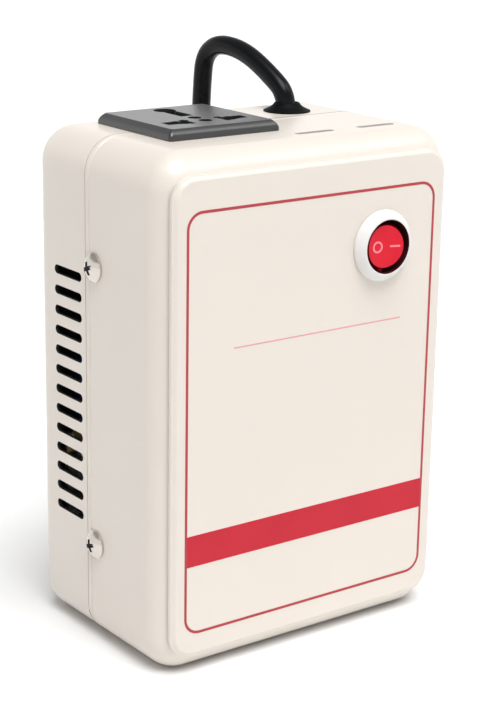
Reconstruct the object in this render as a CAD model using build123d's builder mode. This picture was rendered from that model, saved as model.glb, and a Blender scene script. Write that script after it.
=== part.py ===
from build123d import *
import math
import os

os.makedirs("parts", exist_ok=True)

# A mains step-down converter that stands upright: origin under the middle of the case,
# +Z up, the printed front towards -Y, all lengths in millimetres.

# Case: two drawn sheet-steel half shells that meet at an upright seam
case_width = 108.0
case_depth = 72.0
case_height = 158.0
case_corner_radius = 11.0
case_face_radius = 9.5
sheet = 1.2
seam_depth = 40.5
seam_gap = 0.3
overrun = 8.0

# Raised panel on the front
panel_side_margin = 5.0
panel_end_margin = 7.5
panel_corner_radius = 6.0
panel_raise = 1.0
panel_edge_radius = 0.9
panel_root = 3.0

# Groove beside the front shell's rim
rim_width = 1.6
rim_groove_width = 0.8
rim_groove_depth = 0.35

# Lip of the rear shell that slides inside the front shell
lip_reach = 10.0
lip_root = 2.0
lip_bite = 0.3
lip_gap = 0.15
lip_notch_margin = 4.0

# Vents
vent_length = 15.5
vent_width = 2.8
vent_pitch = 6.33
vent_count = 13
vent_from_seam = 10.3
vent_middle_drop = 1.7
top_vent_length = 14.4
top_vent_from_side = 20.5
top_vent_spacing = 23.7
top_vent_from_front = 13.4

# Screws through the sides
screw_from_seam = 4.7
screw_from_bottom = 32.4
screw_from_top = 38.0
screw_shank = 3.9
screw_length = 8.0
screw_head = 9.0
screw_head_rise = 2.6
screw_head_edge = 0.7
screw_hole_gap = 0.25
screw_fit = 0.05
recess_width = 1.0
recess_span = 4.6
recess_depth = 1.3

# Rocker switch
switch_from_side = 28.6
switch_from_top = 33.8
bezel_radius = 11.0
bezel_edge = 0.8
bezel_rise = 3.3
bezel_bulge = 0.45
well_radius = 8.2
well_lip_drop = 0.35
barrel_radius = 9.9
barrel_hole_gap = 0.2
pivot_depth = 1.0
well_depth = 10.1
barrel_floor = 1.5
lug_rise = 0.9
lug_length = 5.0
lug_width = 4.0
lug_clearance = 0.15
rocker_gap = 0.3
rocker_tilt = 11.0
rocker_valley = 2.44
rocker_back = 3.0
trunnion_radius = 1.2
trunnion_fit = 0.05
trunnion_reach = 9.4
trunnion_end_gap = 0.2
boss_radius = 2.6
boss_length = 2.4
boss_bore = 1.55
boss_bore_depth = 3.6
plunger_radius = 1.5
plunger_reach = 7.0
plunger_collar = 3.2
spring_wall = 0.5
spring_gap = 0.05
lever_axis_depth = 8.1
lever_tilt = 5.5
lever_half_length = 6.0
lever_thickness = 0.8
lever_half_width = 2.2
button_radius = 1.0
button_rise = 0.5
button_place = 5.0
blade_thickness = 0.8
blade_width = 4.8
blade_length = 8.0
blade_fit = 0.05
pad_depth = 9.5
pad_thickness = 0.6
pad_half_width = 1.6

# Universal outlet
socket_from_side = 36.5
plate_size = 40.0
plate_top_size = 36.0
plate_height = 2.9
plate_edge = 0.6
plate_corner_radius = 1.2
plate_top_corner_radius = 0.8
skirt_size = 33.6
skirt_wall = 1.6
skirt_depth = 6.0
skirt_corner_radius = 1.5
cutout_gap = 0.4
clip_rise = 0.9
clip_length = 3.6
clip_width = 8.0
pin_row = -9.0
round_pin_place = 9.5
round_pin_radius = 2.7
bar_pin_place = 11.1
bar_pin_length = 6.7
bar_pin_thickness = 4.5
blade_pin_place = 6.4
blade_pin_width = 2.1
blade_pin_length = 7.4
slant_pin_place = 7.1
slant_pin_length = 7.0
slant_pin_width = 2.0
slant_pin_angle = 30.0
earth_round_place = 12.6
earth_round_radius = 3.5
earth_slot_width = 4.5
earth_slot_low = 0.3
small_hole_places = (-3.6, -9.2)
small_hole_radius = 2.1
socket_boss_x = 12.4
socket_boss_y = 9.5
socket_boss_radius = 2.6
socket_pilot_radius = 1.1
socket_pilot_depth = 5.0
base_height = 16.0
base_floor = 2.0
pocket_length = 11.6
pocket_width = 8.6
earth_pocket_length = 15.0
earth_pocket_width = 8.6
earth_pocket_place = 8.6
socket_screw_radius = 1.05
socket_screw_hole = 1.35
socket_screw_grip = 4.0
socket_screw_head = 2.2
socket_screw_head_rise = 1.4
contact_sheet = 0.6
contact_length = 9.4
contact_width = 6.8
contact_height = 11.0
contact_tail_width = 2.4
contact_tail_length = 5.0
contact_gap = 0.05

# Bush and supply cord
bush_from_side = 26.2
bush_from_seam = 9.9
bush_flange_radius = 8.2
bush_flange_edge = 0.5
bush_cone_radius = 5.2
bush_height = 3.6
bush_neck_radius = 5.4
bush_hole_gap = 0.2
bush_shoulder_radius = 6.2
bush_shoulder = 1.2
bush_seat_gap = 0.1
bush_tail = 9.0
bush_tail_radius = 4.9
bush_mouth = 2.2
bush_mouth_flare = 0.9
cord_radius = 3.15
cord_fit = 0.05
cord_start_depth = 2.5
stub_end_depth = 14.0
cord_stand_off = 20.2
cord_floor = 1.0
coil_pitch = 6.8
coil_inner_radius = 26.2
coil_turns_in = 2
coil_turns_out = 2
run_share = 0.45

# Tie round the coil
tie_clearance = 0.45
tie_thickness = 0.5
tie_width = 5.0
tie_corner_radius = 2.5

# Plug
plug_face_radius = 18.4
plug_floor_gap = 0.3
plug_front_length = 14.0
plug_front_edge = 1.2
plug_waist_length = 15.0
plug_waist_half_width = 9.0
plug_waist_half_thickness = 6.5
plug_waist_corner_radius = 4.5
plug_relief_length = 20.0
plug_relief_root = 5.6
plug_relief_tip = 3.6
plug_bore_fit = 0.05
plug_notch_width = 5.6
plug_notch_depth = 2.6
pin_radius = 2.4
pin_length = 19.0
pin_spacing = 19.0
pin_round = 1.2
pin_grip = 8.0
pin_grip_radius = 1.9

# Transformer
lamination = 11.0
stack = 40.0
core_middle_height = 39.0
bobbin_gap = 0.3
bobbin_wall = 1.0
flange_thickness = 1.2
flange_overhang = 11.3
winding_gap = 0.05
common_thickness = 4.6
series_thickness = 3.2
wrap_thickness = 0.5
bracket_sheet = 1.5
bracket_width = 36.0
foot_length = 9.6
bracket_bend_radius = 2.0
bolt_spacing = 24.0
bolt_radius = 2.0
bolt_head_radius = 4.0
bolt_head_rise = 2.4
bolt_end = 1.2
nut_thickness = 3.2
nut_flats = 7.0
bolt_hole_gap = 0.2
washer_radius = 4.4
washer_thickness = 0.8
thread_fit = 0.05
fuse_radius = 2.0
fuse_length = 11.0
fuse_lead_radius = 0.5
fuse_lead_length = 6.0
tag_spacing = 10.0
tag_count = 4
tag_width = 3.0
tag_thickness = 0.5
tag_height = 6.0
tag_foot = 4.0
core_wire_radius = 1.3
core_wire_spacing = 2.8
wire_bend_radius = 5.0
wire_drop = 11.0
wire_drop_share = 0.194
wire_long_drop_share = 0.355
wire_rise_share = 0.3
earth_tag_reach = 9.0
earth_tag_width = 5.0

# Places worked out from the sizes above
front_y = -case_depth / 2
back_y = case_depth / 2
seam_y = front_y + seam_depth
panel_y = front_y - panel_raise
screw_y = seam_y - screw_from_seam
pivot_y = panel_y + pivot_depth
socket_y = seam_y
top_inside = case_height - sheet
skirt_bottom = case_height - skirt_depth
base_bottom = skirt_bottom - base_height
wall_inside_y = back_y - sheet
panel_width = case_width - 2 * panel_side_margin
panel_height = case_height - 2 * panel_end_margin
vent_middle_height = case_height / 2 - vent_middle_drop
last_top_vent_x = case_width / 2 - top_vent_from_side
top_vent_places_x = (last_top_vent_x - top_vent_spacing, last_top_vent_x)
screw_heights = (screw_from_bottom, case_height - screw_from_top)
switch_x = case_width / 2 - switch_from_side
switch_z = case_height - switch_from_top
socket_x = socket_from_side - case_width / 2
bush_x = case_width / 2 - bush_from_side
bush_y = seam_y + bush_from_seam


def half_form(inset, rear):
    """Solid that fills one half of the case, drawn in from its outside by an inset."""
    start = seam_y + seam_gap if rear else seam_y
    depth = back_y - start if rear else seam_depth
    reach = depth - inset
    with BuildPart() as form:
        with BuildSketch(Plane.XZ.offset(-start)):
            with Locations((0, case_height / 2)):
                RectangleRounded(
                    case_width - 2 * inset,
                    case_height - 2 * inset,
                    case_corner_radius - inset,
                )
        extrude(amount=-reach if rear else reach)
        outline = form.edges().group_by(Axis.Y)[-1 if rear else 0]
        fillet(outline, case_face_radius - inset)
    return form.part


def panel_form(inset):
    """Raised panel, or with an inset the recess behind it."""
    with BuildPart() as form:
        with BuildSketch(Plane.XZ.offset(-front_y - panel_root)):
            with Locations((0, case_height / 2)):
                RectangleRounded(
                    panel_width - 2 * inset,
                    panel_height - 2 * inset,
                    panel_corner_radius - inset,
                )
        extrude(amount=panel_root + panel_raise - inset)
        if inset == 0:
            fillet(form.edges().group_by(Axis.Y)[0], panel_edge_radius)
    return form.part


def outline_ring(outer_inset, inner_inset, start, amount):
    """Ring that follows the case's outline between two insets."""
    with BuildPart() as form:
        with BuildSketch(Plane.XZ.offset(-start)):
            with Locations((0, case_height / 2)):
                RectangleRounded(
                    case_width - 2 * outer_inset,
                    case_height - 2 * outer_inset,
                    case_corner_radius - outer_inset,
                )
                RectangleRounded(
                    case_width - 2 * inner_inset,
                    case_height - 2 * inner_inset,
                    case_corner_radius - inner_inset,
                    mode=Mode.SUBTRACT,
                )
        extrude(amount=amount)
    return form.part


outer_front = half_form(0, False)
inner_front = half_form(sheet, False)
outer_rear = half_form(0, True)
inner_rear = half_form(sheet, True)
raised_panel = panel_form(0)
panel_recess = panel_form(sheet)
rim_groove = outline_ring(-overrun, rim_groove_depth, seam_y - rim_width, rim_groove_width)
lip_front = outline_ring(
    sheet + lip_gap, 2 * sheet + lip_gap, seam_y + seam_gap, lip_reach + seam_gap
)
lip_back = outline_ring(
    sheet - lip_bite, 2 * sheet + lip_gap, seam_y + seam_gap, -lip_root
)
cutout_size = skirt_size + 2 * cutout_gap

# Front shell: drawn tray with the raised panel, switch hole, top vents and rim groove
with BuildPart() as front_shell:
    add(outer_front)
    add(raised_panel)
    add(inner_front, mode=Mode.SUBTRACT)
    add(panel_recess, mode=Mode.SUBTRACT)
    add(rim_groove, mode=Mode.SUBTRACT)
    with BuildSketch(Plane.XZ.offset(-panel_y)):
        with Locations((switch_x, switch_z)):
            Circle(barrel_radius + barrel_hole_gap)
    extrude(amount=-overrun, mode=Mode.SUBTRACT)
    with BuildSketch(Plane.YZ):
        with Locations(*[(screw_y, height) for height in screw_heights]):
            Circle(screw_shank / 2 + screw_hole_gap)
    extrude(amount=case_width, both=True, mode=Mode.SUBTRACT)
    with BuildSketch(Plane.XY.offset(case_height)):
        with Locations((socket_x, socket_y)):
            Rectangle(cutout_size, cutout_size)
    extrude(amount=-overrun, mode=Mode.SUBTRACT)
    with BuildSketch(Plane.XY.offset(case_height)):
        with Locations(*[(x, front_y + top_vent_from_front) for x in top_vent_places_x]):
            SlotOverall(top_vent_length, vent_width)
    extrude(amount=-overrun, mode=Mode.SUBTRACT)
front_shell.part.label = "front_shell"
export_step(front_shell.part, "parts/front_shell.step")

# Transformer core places, needed by the holes in the rear shell
core_width = 6 * lamination
core_back_y = wall_inside_y
leg_start_y = core_back_y - lamination
leg_end_y = leg_start_y - 3 * lamination
core_front_y = leg_end_y - lamination
bolt_x = core_width / 2 + bracket_sheet + foot_length / 2
bolt_places = [
    (side * bolt_x, core_middle_height + end * bolt_spacing / 2)
    for side in (-1, 1)
    for end in (-1, 1)
]

# Rear shell: tray with vents in both sides, the bush and bolt holes, and the inner lip
with BuildPart() as rear_shell:
    add(outer_rear)
    add(inner_rear, mode=Mode.SUBTRACT)
    add(lip_front)
    add(lip_back)
    with BuildSketch(Plane.YZ):
        with Locations((seam_y + vent_from_seam, vent_middle_height)):
            with GridLocations(vent_length, vent_pitch, 1, vent_count):
                SlotOverall(vent_length, vent_width)
    extrude(amount=case_width, both=True, mode=Mode.SUBTRACT)
    with BuildSketch(Plane.YZ):
        with Locations(*[(screw_y, height) for height in screw_heights]):
            Circle(screw_shank / 2 + screw_fit)
    extrude(amount=case_width, both=True, mode=Mode.SUBTRACT)
    with BuildSketch(Plane.XY.offset(case_height)):
        with Locations((socket_x, socket_y)):
            Rectangle(cutout_size, cutout_size)
        with Locations((bush_x, bush_y)):
            Circle(bush_neck_radius + bush_hole_gap)
    extrude(amount=-overrun, mode=Mode.SUBTRACT)
    with BuildSketch(Plane.XY.offset(top_inside)):
        with Locations((socket_x, socket_y)):
            Rectangle(cutout_size + 2 * lip_notch_margin, cutout_size)
    extrude(amount=-overrun, mode=Mode.SUBTRACT)
    with BuildSketch(Plane.XZ.offset(-back_y)):
        with Locations(*bolt_places):
            Circle(bolt_radius + bolt_hole_gap)
    extrude(amount=overrun, mode=Mode.SUBTRACT)
rear_shell.part.label = "rear_shell"
export_step(rear_shell.part, "parts/rear_shell.step")


def cross_recess_screw(head_radius, head_rise, head_edge, shank_radius, length, seat):
    """Pan-head screw with a cross recess, its head standing out along the seat plane."""
    dome_rise = head_rise - head_edge
    dome_radius = (head_radius**2 + dome_rise**2) / (2 * dome_rise)
    half_angle = math.asin(head_radius / dome_radius) / 2
    dome_drop = dome_radius * (1 - math.cos(half_angle))
    with BuildPart() as form:
        with BuildSketch(Plane(seat.origin, x_dir=seat.x_dir, z_dir=-seat.y_dir)):
            with BuildLine():
                Polyline(
                    (0, head_rise),
                    (0, -length),
                    (shank_radius - screw_hole_gap, -length),
                    (shank_radius, -length + shank_radius / 2),
                    (shank_radius, 0),
                    (head_radius, 0),
                    (head_radius, head_edge),
                )
                ThreePointArc(
                    (head_radius, head_edge),
                    (dome_radius * math.sin(half_angle), head_rise - dome_drop),
                    (0, head_rise),
                )
            make_face()
        revolve(axis=Axis(seat.origin, seat.z_dir))
        with BuildSketch(seat.offset(head_rise)):
            Rectangle(recess_span, recess_width)
            Rectangle(recess_width, recess_span)
        extrude(amount=-recess_depth, mode=Mode.SUBTRACT)
    return form.part


screw_seats = [
    Plane((side * case_width / 2, screw_y, height), x_dir=(0, 1, 0), z_dir=(side, 0, 0))
    for side in (-1, 1)
    for height in screw_heights
]
screw_forms = [
    cross_recess_screw(
        screw_head / 2, screw_head_rise, screw_head_edge, screw_shank / 2, screw_length, seat
    )
    for seat in screw_seats
]

with BuildPart() as side_screws:
    for form in screw_forms:
        add(form)
side_screws.part.label = "side_screws"
export_step(side_screws.part, "parts/side_screws.step")

# Rocker switch: housing with its bezel, well, trunnion bores and snap lugs
switch_side = Plane((switch_x, panel_y, switch_z), x_dir=(1, 0, 0), z_dir=(0, 0, -1))
switch_axis = Axis((switch_x, panel_y, switch_z), (0, -1, 0))
well_floor = pivot_depth + well_depth
barrel_depth = well_floor + barrel_floor
common_x = switch_x
load_x = switch_x - button_place

with BuildPart() as switch_housing:
    with BuildSketch(switch_side):
        with BuildLine():
            Polyline(
                (bezel_radius, bezel_edge),
                (bezel_radius, 0),
                (barrel_radius, 0),
                (barrel_radius, -barrel_depth),
                (0, -barrel_depth),
                (0, -well_floor),
                (well_radius, -well_floor),
                (well_radius, bezel_rise - well_lip_drop),
                (well_radius + well_lip_drop, bezel_rise),
            )
            ThreePointArc(
                (well_radius + well_lip_drop, bezel_rise),
                (
                    (bezel_radius + well_radius + well_lip_drop) / 2,
                    (bezel_rise + bezel_edge) / 2 + bezel_bulge,
                ),
                (bezel_radius, bezel_edge),
            )
        make_face()
    revolve(axis=switch_axis)
    with BuildSketch(Plane.XY.offset(switch_z)):
        with Locations((switch_x, pivot_y)):
            Circle(trunnion_radius + trunnion_fit)
    extrude(amount=trunnion_reach + trunnion_end_gap, both=True, mode=Mode.SUBTRACT)
    with BuildSketch(Plane.XZ.offset(-panel_y - barrel_depth)):
        with Locations((common_x, switch_z), (load_x, switch_z)):
            Rectangle(blade_thickness + 2 * blade_fit, blade_width + 2 * blade_fit)
    extrude(amount=overrun / 2, mode=Mode.SUBTRACT)
    with BuildSketch(Plane.XY.offset(switch_z)) as lugs:
        with BuildLine():
            lug_root = barrel_radius - lug_clearance
            lug_start = panel_y + sheet + lug_clearance
            Polyline(
                (switch_x + lug_root, lug_start),
                (switch_x + barrel_radius + lug_rise, lug_start),
                (switch_x + lug_root, lug_start + lug_length),
                close=True,
            )
        make_face()
        mirror(about=Plane.YZ.offset(switch_x))
    extrude(amount=lug_width / 2, both=True)
switch_housing.part.label = "switch_housing"
export_step(switch_housing.part, "parts/switch_housing.step")

# Rocker, drawn in its own tilted plane with the left-hand side pressed in
tilt = math.radians(rocker_tilt)
rocker_plane = Plane(
    (switch_x, pivot_y, switch_z),
    x_dir=(math.cos(tilt), -math.sin(tilt), 0),
    z_dir=(0, 0, 1),
)
rocker_back_plane = Plane(
    rocker_plane.origin, x_dir=rocker_plane.x_dir, z_dir=rocker_plane.y_dir
)
rocker_radius = well_radius - rocker_gap
blank_rise = rocker_valley + well_radius * math.tan(tilt)

with BuildPart() as switch_rocker:
    with BuildSketch(rocker_plane):
        with BuildLine():
            Polyline(
                (0, -rocker_valley),
                (well_radius, -blank_rise),
                (well_radius, rocker_back),
                (-well_radius, rocker_back),
                (-well_radius, -blank_rise),
                close=True,
            )
        make_face()
    extrude(amount=well_radius, both=True)
    with Locations(rocker_plane.location):
        Sphere(rocker_radius, mode=Mode.INTERSECT)
    with BuildSketch(rocker_plane):
        Circle(trunnion_radius)
    extrude(amount=trunnion_reach, both=True)
    with BuildSketch(rocker_back_plane.offset(rocker_back)):
        Circle(boss_radius)
    extrude(amount=boss_length)
    with BuildSketch(rocker_back_plane.offset(rocker_back + boss_length)):
        Circle(boss_bore)
    extrude(amount=-boss_bore_depth, mode=Mode.SUBTRACT)
switch_rocker.part.label = "switch_rocker"
export_step(switch_rocker.part, "parts/switch_rocker.step")

# Sprung plunger and its spring, carried in the rocker's boss
bore_end = rocker_back + boss_length - boss_bore_depth
plunger_start = plunger_reach - plunger_collar
with BuildPart() as switch_plunger:
    with BuildSketch(rocker_back_plane.offset(plunger_start)):
        Circle(plunger_radius)
    extrude(amount=plunger_collar - plunger_radius)
    with Locations(rocker_back_plane.offset(plunger_reach - plunger_radius).location):
        Sphere(plunger_radius)
switch_plunger.part.label = "switch_plunger"
export_step(switch_plunger.part, "parts/switch_plunger.step")

with BuildPart() as switch_spring:
    with BuildSketch(rocker_back_plane.offset(bore_end)):
        Circle(plunger_radius)
        Circle(plunger_radius - spring_wall, mode=Mode.SUBTRACT)
    extrude(amount=plunger_start - bore_end - spring_gap)
switch_spring.part.label = "switch_spring"
export_step(switch_spring.part, "parts/switch_spring.step")

# See-saw contact on the knife edge of the common terminal
slope = math.radians(lever_tilt)
lever_plane = Plane(
    (switch_x, pivot_y + lever_axis_depth, switch_z),
    x_dir=(math.cos(slope), math.sin(slope), 0),
    z_dir=(0, 0, 1),
)
button_plane = Plane(lever_plane.origin, x_dir=lever_plane.x_dir, z_dir=lever_plane.y_dir)
knife_radius = blade_thickness / 2

with BuildPart() as switch_lever:
    with BuildSketch(lever_plane):
        with Locations((0, -lever_thickness / 2)):
            Rectangle(2 * lever_half_length, lever_thickness)
        Circle(knife_radius + trunnion_fit, mode=Mode.SUBTRACT)
    extrude(amount=lever_half_width, both=True)
    with BuildSketch(button_plane):
        with Locations((-button_place, 0)):
            Circle(button_radius)
    extrude(amount=button_rise)
switch_lever.part.label = "switch_lever"
export_step(switch_lever.part, "parts/switch_lever.step")

blade_end_y = panel_y + barrel_depth + blade_length
knife_y = pivot_y + lever_axis_depth
pad_y = pivot_y + pad_depth
with BuildPart() as switch_terminals:
    with BuildSketch(Plane.XY.offset(switch_z)):
        with BuildLine():
            Line((common_x - knife_radius, knife_y), (common_x - knife_radius, blade_end_y))
            Line((common_x - knife_radius, blade_end_y), (common_x + knife_radius, blade_end_y))
            Line((common_x + knife_radius, blade_end_y), (common_x + knife_radius, knife_y))
            ThreePointArc(
                (common_x + knife_radius, knife_y),
                (common_x, knife_y - knife_radius),
                (common_x - knife_radius, knife_y),
            )
        make_face()
        with Locations((load_x, (pad_y + blade_end_y) / 2)):
            Rectangle(blade_thickness, blade_end_y - pad_y)
        with Locations((load_x, pad_y + pad_thickness / 2)):
            Rectangle(2 * pad_half_width, pad_thickness)
    extrude(amount=blade_width / 2, both=True)
switch_terminals.part.label = "switch_terminals"
export_step(switch_terminals.part, "parts/switch_terminals.step")


def pin_hole_shape(side):
    """Compound opening for one live pin: round, bar, upright and slanted blades in one."""
    with BuildSketch() as shape:
        with Locations((side * round_pin_place, pin_row)):
            Circle(round_pin_radius)
        with Locations((side * bar_pin_place, pin_row)):
            Rectangle(bar_pin_length, bar_pin_thickness)
        with Locations((side * blade_pin_place, pin_row)):
            Rectangle(blade_pin_width, blade_pin_length)
        with Locations((side * slant_pin_place, pin_row)):
            Rectangle(slant_pin_width, slant_pin_length, rotation=side * slant_pin_angle)
    return shape.sketch


left_hole = pin_hole_shape(-1)
right_hole = pin_hole_shape(1)
socket_top = Plane((socket_x, socket_y, case_height), x_dir=(1, 0, 0), z_dir=(0, 0, 1))
boss_places = ((-socket_boss_x, socket_boss_y), (socket_boss_x, socket_boss_y))

# Bevelled faceplate with its pin holes, skirt, clips and screw bosses
with BuildPart() as socket_faceplate:
    with BuildSketch(socket_top):
        RectangleRounded(plate_size, plate_size, plate_corner_radius)
    extrude(amount=plate_edge)
    with BuildSketch(socket_top.offset(plate_edge)):
        RectangleRounded(plate_size, plate_size, plate_corner_radius)
    with BuildSketch(socket_top.offset(plate_height)):
        RectangleRounded(plate_top_size, plate_top_size, plate_top_corner_radius)
    loft()
    with BuildSketch(socket_top):
        RectangleRounded(skirt_size, skirt_size, skirt_corner_radius)
        RectangleRounded(
            skirt_size - 2 * skirt_wall,
            skirt_size - 2 * skirt_wall,
            skirt_corner_radius / 2,
            mode=Mode.SUBTRACT,
        )
        with Locations(*boss_places):
            Circle(socket_boss_radius)
    extrude(amount=-skirt_depth)
    with BuildSketch(socket_top.offset(plate_height)):
        add(left_hole)
        add(right_hole)
        with Locations((0, earth_round_place)):
            Circle(earth_round_radius)
        with Locations((0, (earth_slot_low + earth_round_place) / 2)):
            Rectangle(earth_slot_width, earth_round_place - earth_slot_low)
        with Locations(*[(0, place) for place in small_hole_places]):
            Circle(small_hole_radius)
    extrude(amount=-plate_height, mode=Mode.SUBTRACT)
    with BuildSketch(socket_top.offset(-skirt_depth)):
        with Locations(*boss_places):
            Circle(socket_pilot_radius)
    extrude(amount=socket_pilot_depth, mode=Mode.SUBTRACT)
    with BuildSketch(Plane.XZ.offset(-socket_y)) as clips:
        with BuildLine():
            clip_top = top_inside - lug_clearance
            clip_root = skirt_size / 2 - lug_clearance
            Polyline(
                (socket_x + clip_root, clip_top),
                (socket_x + skirt_size / 2 + clip_rise, clip_top),
                (socket_x + clip_root, clip_top - clip_length),
                close=True,
            )
        make_face()
        mirror(about=Plane.YZ.offset(socket_x))
    extrude(amount=clip_width / 2, both=True)
socket_faceplate.part.label = "socket_faceplate"
export_step(socket_faceplate.part, "parts/socket_faceplate.step")

# Moulded base with a pocket for each contact
base_top = socket_top.offset(-skirt_depth)
pocket_places = ((-round_pin_place, pin_row), (round_pin_place, pin_row))
pocket_depth = base_height - base_floor
with BuildPart() as socket_base:
    with BuildSketch(base_top):
        RectangleRounded(skirt_size, skirt_size, skirt_corner_radius)
    extrude(amount=-base_height)
    with BuildSketch(base_top):
        with Locations(*pocket_places):
            Rectangle(pocket_length, pocket_width)
        with Locations((0, earth_pocket_place)):
            Rectangle(earth_pocket_width, earth_pocket_length)
    extrude(amount=-pocket_depth, mode=Mode.SUBTRACT)
    with BuildSketch(base_top):
        with Locations(*boss_places):
            Circle(socket_screw_hole)
    extrude(amount=-base_height, mode=Mode.SUBTRACT)
    with BuildSketch(base_top.offset(-pocket_depth)):
        with Locations(*pocket_places, (0, earth_pocket_place)):
            Rectangle(contact_tail_width + 2 * contact_gap, contact_tail_width)
    extrude(amount=-base_floor, mode=Mode.SUBTRACT)
socket_base.part.label = "socket_base"
export_step(socket_base.part, "parts/socket_base.step")


def contact_form(place, turn):
    """Folded spring contact: an open channel with a tail through the base's floor."""
    seat = Plane(
        (socket_x + place[0], socket_y + place[1], skirt_bottom - pocket_depth + contact_gap),
        x_dir=(math.cos(turn), math.sin(turn), 0),
        z_dir=(0, 0, 1),
    )
    with BuildPart() as form:
        with BuildSketch(seat):
            Rectangle(contact_length, contact_width)
            with Locations((contact_sheet, 0)):
                Rectangle(
                    contact_length, contact_width - 2 * contact_sheet, mode=Mode.SUBTRACT
                )
        extrude(amount=contact_height)
        with BuildSketch(seat):
            Rectangle(contact_length, contact_width)
        extrude(amount=contact_sheet)
        with BuildSketch(seat):
            with Locations(Location((0, 0), -math.degrees(turn))):
                Rectangle(contact_tail_width, contact_sheet)
        extrude(amount=-contact_tail_length)
    return form.part


contact_places = {
    "left": (pocket_places[0], math.pi),
    "right": (pocket_places[1], 0),
    "earth": ((0, earth_pocket_place), math.pi / 2),
}
contact_forms = {name: contact_form(*spot) for name, spot in contact_places.items()}

with BuildPart() as socket_contact_left:
    add(contact_forms["left"])
socket_contact_left.part.label = "socket_contact_left"
export_step(socket_contact_left.part, "parts/socket_contact_left.step")

with BuildPart() as socket_contact_right:
    add(contact_forms["right"])
socket_contact_right.part.label = "socket_contact_right"
export_step(socket_contact_right.part, "parts/socket_contact_right.step")

with BuildPart() as socket_contact_earth:
    add(contact_forms["earth"])
socket_contact_earth.part.label = "socket_contact_earth"
export_step(socket_contact_earth.part, "parts/socket_contact_earth.step")

with BuildPart() as socket_screws:
    with BuildSketch(socket_top.offset(base_bottom - case_height)):
        with Locations(*boss_places):
            Circle(socket_screw_radius)
    extrude(amount=base_height + socket_screw_grip)
    with BuildSketch(socket_top.offset(base_bottom - case_height)):
        with Locations(*boss_places):
            Circle(socket_screw_head)
    extrude(amount=-socket_screw_head_rise)
socket_screws.part.label = "socket_screws"
export_step(socket_screws.part, "parts/socket_screws.step")

# Strain-relief bush: low cone outside, grooved neck in the sheet, tapered tail inside
bush_side = Plane((bush_x, bush_y, case_height), x_dir=(1, 0, 0), z_dir=(0, -1, 0))
bush_axis = Axis((bush_x, bush_y, case_height), (0, 0, 1))
shoulder_top = -sheet - bush_seat_gap
with BuildPart() as cable_bush:
    with BuildSketch(bush_side):
        with BuildLine():
            Polyline(
                (cord_radius + cord_fit, -bush_tail),
                (bush_tail_radius, -bush_tail),
                (bush_shoulder_radius, shoulder_top - bush_shoulder),
                (bush_shoulder_radius, shoulder_top),
                (bush_neck_radius, shoulder_top),
                (bush_neck_radius, 0),
                (bush_flange_radius, 0),
                (bush_flange_radius, bush_flange_edge),
                (bush_cone_radius, bush_height),
                (cord_radius + cord_fit + bush_mouth_flare, bush_height),
                (cord_radius + cord_fit, bush_height - bush_mouth),
                close=True,
            )
        make_face()
    revolve(axis=bush_axis)
cable_bush.part.label = "cable_bush"
export_step(cable_bush.part, "parts/cable_bush.step")

with BuildPart() as cord_stub:
    with BuildSketch(Plane((bush_x, bush_y, case_height - cord_start_depth))):
        Circle(cord_radius)
    extrude(amount=cord_start_depth - stub_end_depth)
cord_stub.part.label = "cord_stub"
export_step(cord_stub.part, "parts/cord_stub.step")


def corner_radii(points):
    """Arc for each corner, as large as its two runs allow."""
    radii = []
    for before, corner, after in zip(points, points[1:], points[2:]):
        first = Vector(*corner) - Vector(*before)
        second = Vector(*after) - Vector(*corner)
        half_turn = math.radians(first.get_angle(second) / 2)
        radii.append(run_share * min(first.length, second.length) / math.tan(half_turn))
    return radii


def tube_along(points, radius):
    """Round tube along straight runs joined by tangent arcs."""
    heading = Vector(*points[1]) - Vector(*points[0])
    with BuildPart() as form:
        with BuildLine():
            FilletPolyline(*points, radius=corner_radii(points))
        with BuildSketch(Plane(points[0], z_dir=heading)):
            Circle(radius)
        sweep()
    return form.part


# Free stretch of the cord, shaped by hand: out of the bush, over in a low arch, down behind
# the case with a slight bow, and along the floor to the coil
coil_height = cord_floor + cord_radius
arch_reach = back_y + cord_stand_off - bush_y
arch_run = [
    (bush_x - lean, bush_y + share * arch_reach, case_height + rise)
    for lean, share, rise in (
        (0, 0, -cord_start_depth),
        (0, 0, 4.9),
        (0.7, 0.196, 10.6),
        (1.7, 0.452, 16.2),
        (2.6, 0.679, 18.2),
        (3.3, 0.859, 17.4),
        (3.7, 0.976, 13.0),
        (3.8, 1, 5.2),
    )
]
drop_run = [
    (bush_x - lean, back_y + away, share * case_height)
    for lean, away, share in (
        (3.8, 21.0, 0.943),
        (3.7, 22.3, 0.766),
        (3.6, 22.7, 0.5),
        (3.6, 21.9, 0.313),
        (3.8, 20.6, 0.189),
    )
]
floor_run = [
    (bush_x - 5.4, back_y + 30.0, 3 * coil_height),
    (bush_x - 8.3, back_y + 46.2, coil_height),
    (bush_x - 11.6, back_y + 64.9, coil_height),
]
cord_points = arch_run + drop_run + floor_run
cord_lead_form = tube_along(cord_points, cord_radius)
print("cord radii", [round(radius, 1) for radius in corner_radii(cord_points)])

with BuildPart() as cord_lead:
    add(cord_lead_form)
cord_lead.part.label = "cord_lead"
export_step(cord_lead.part, "parts/cord_lead.step")

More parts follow.
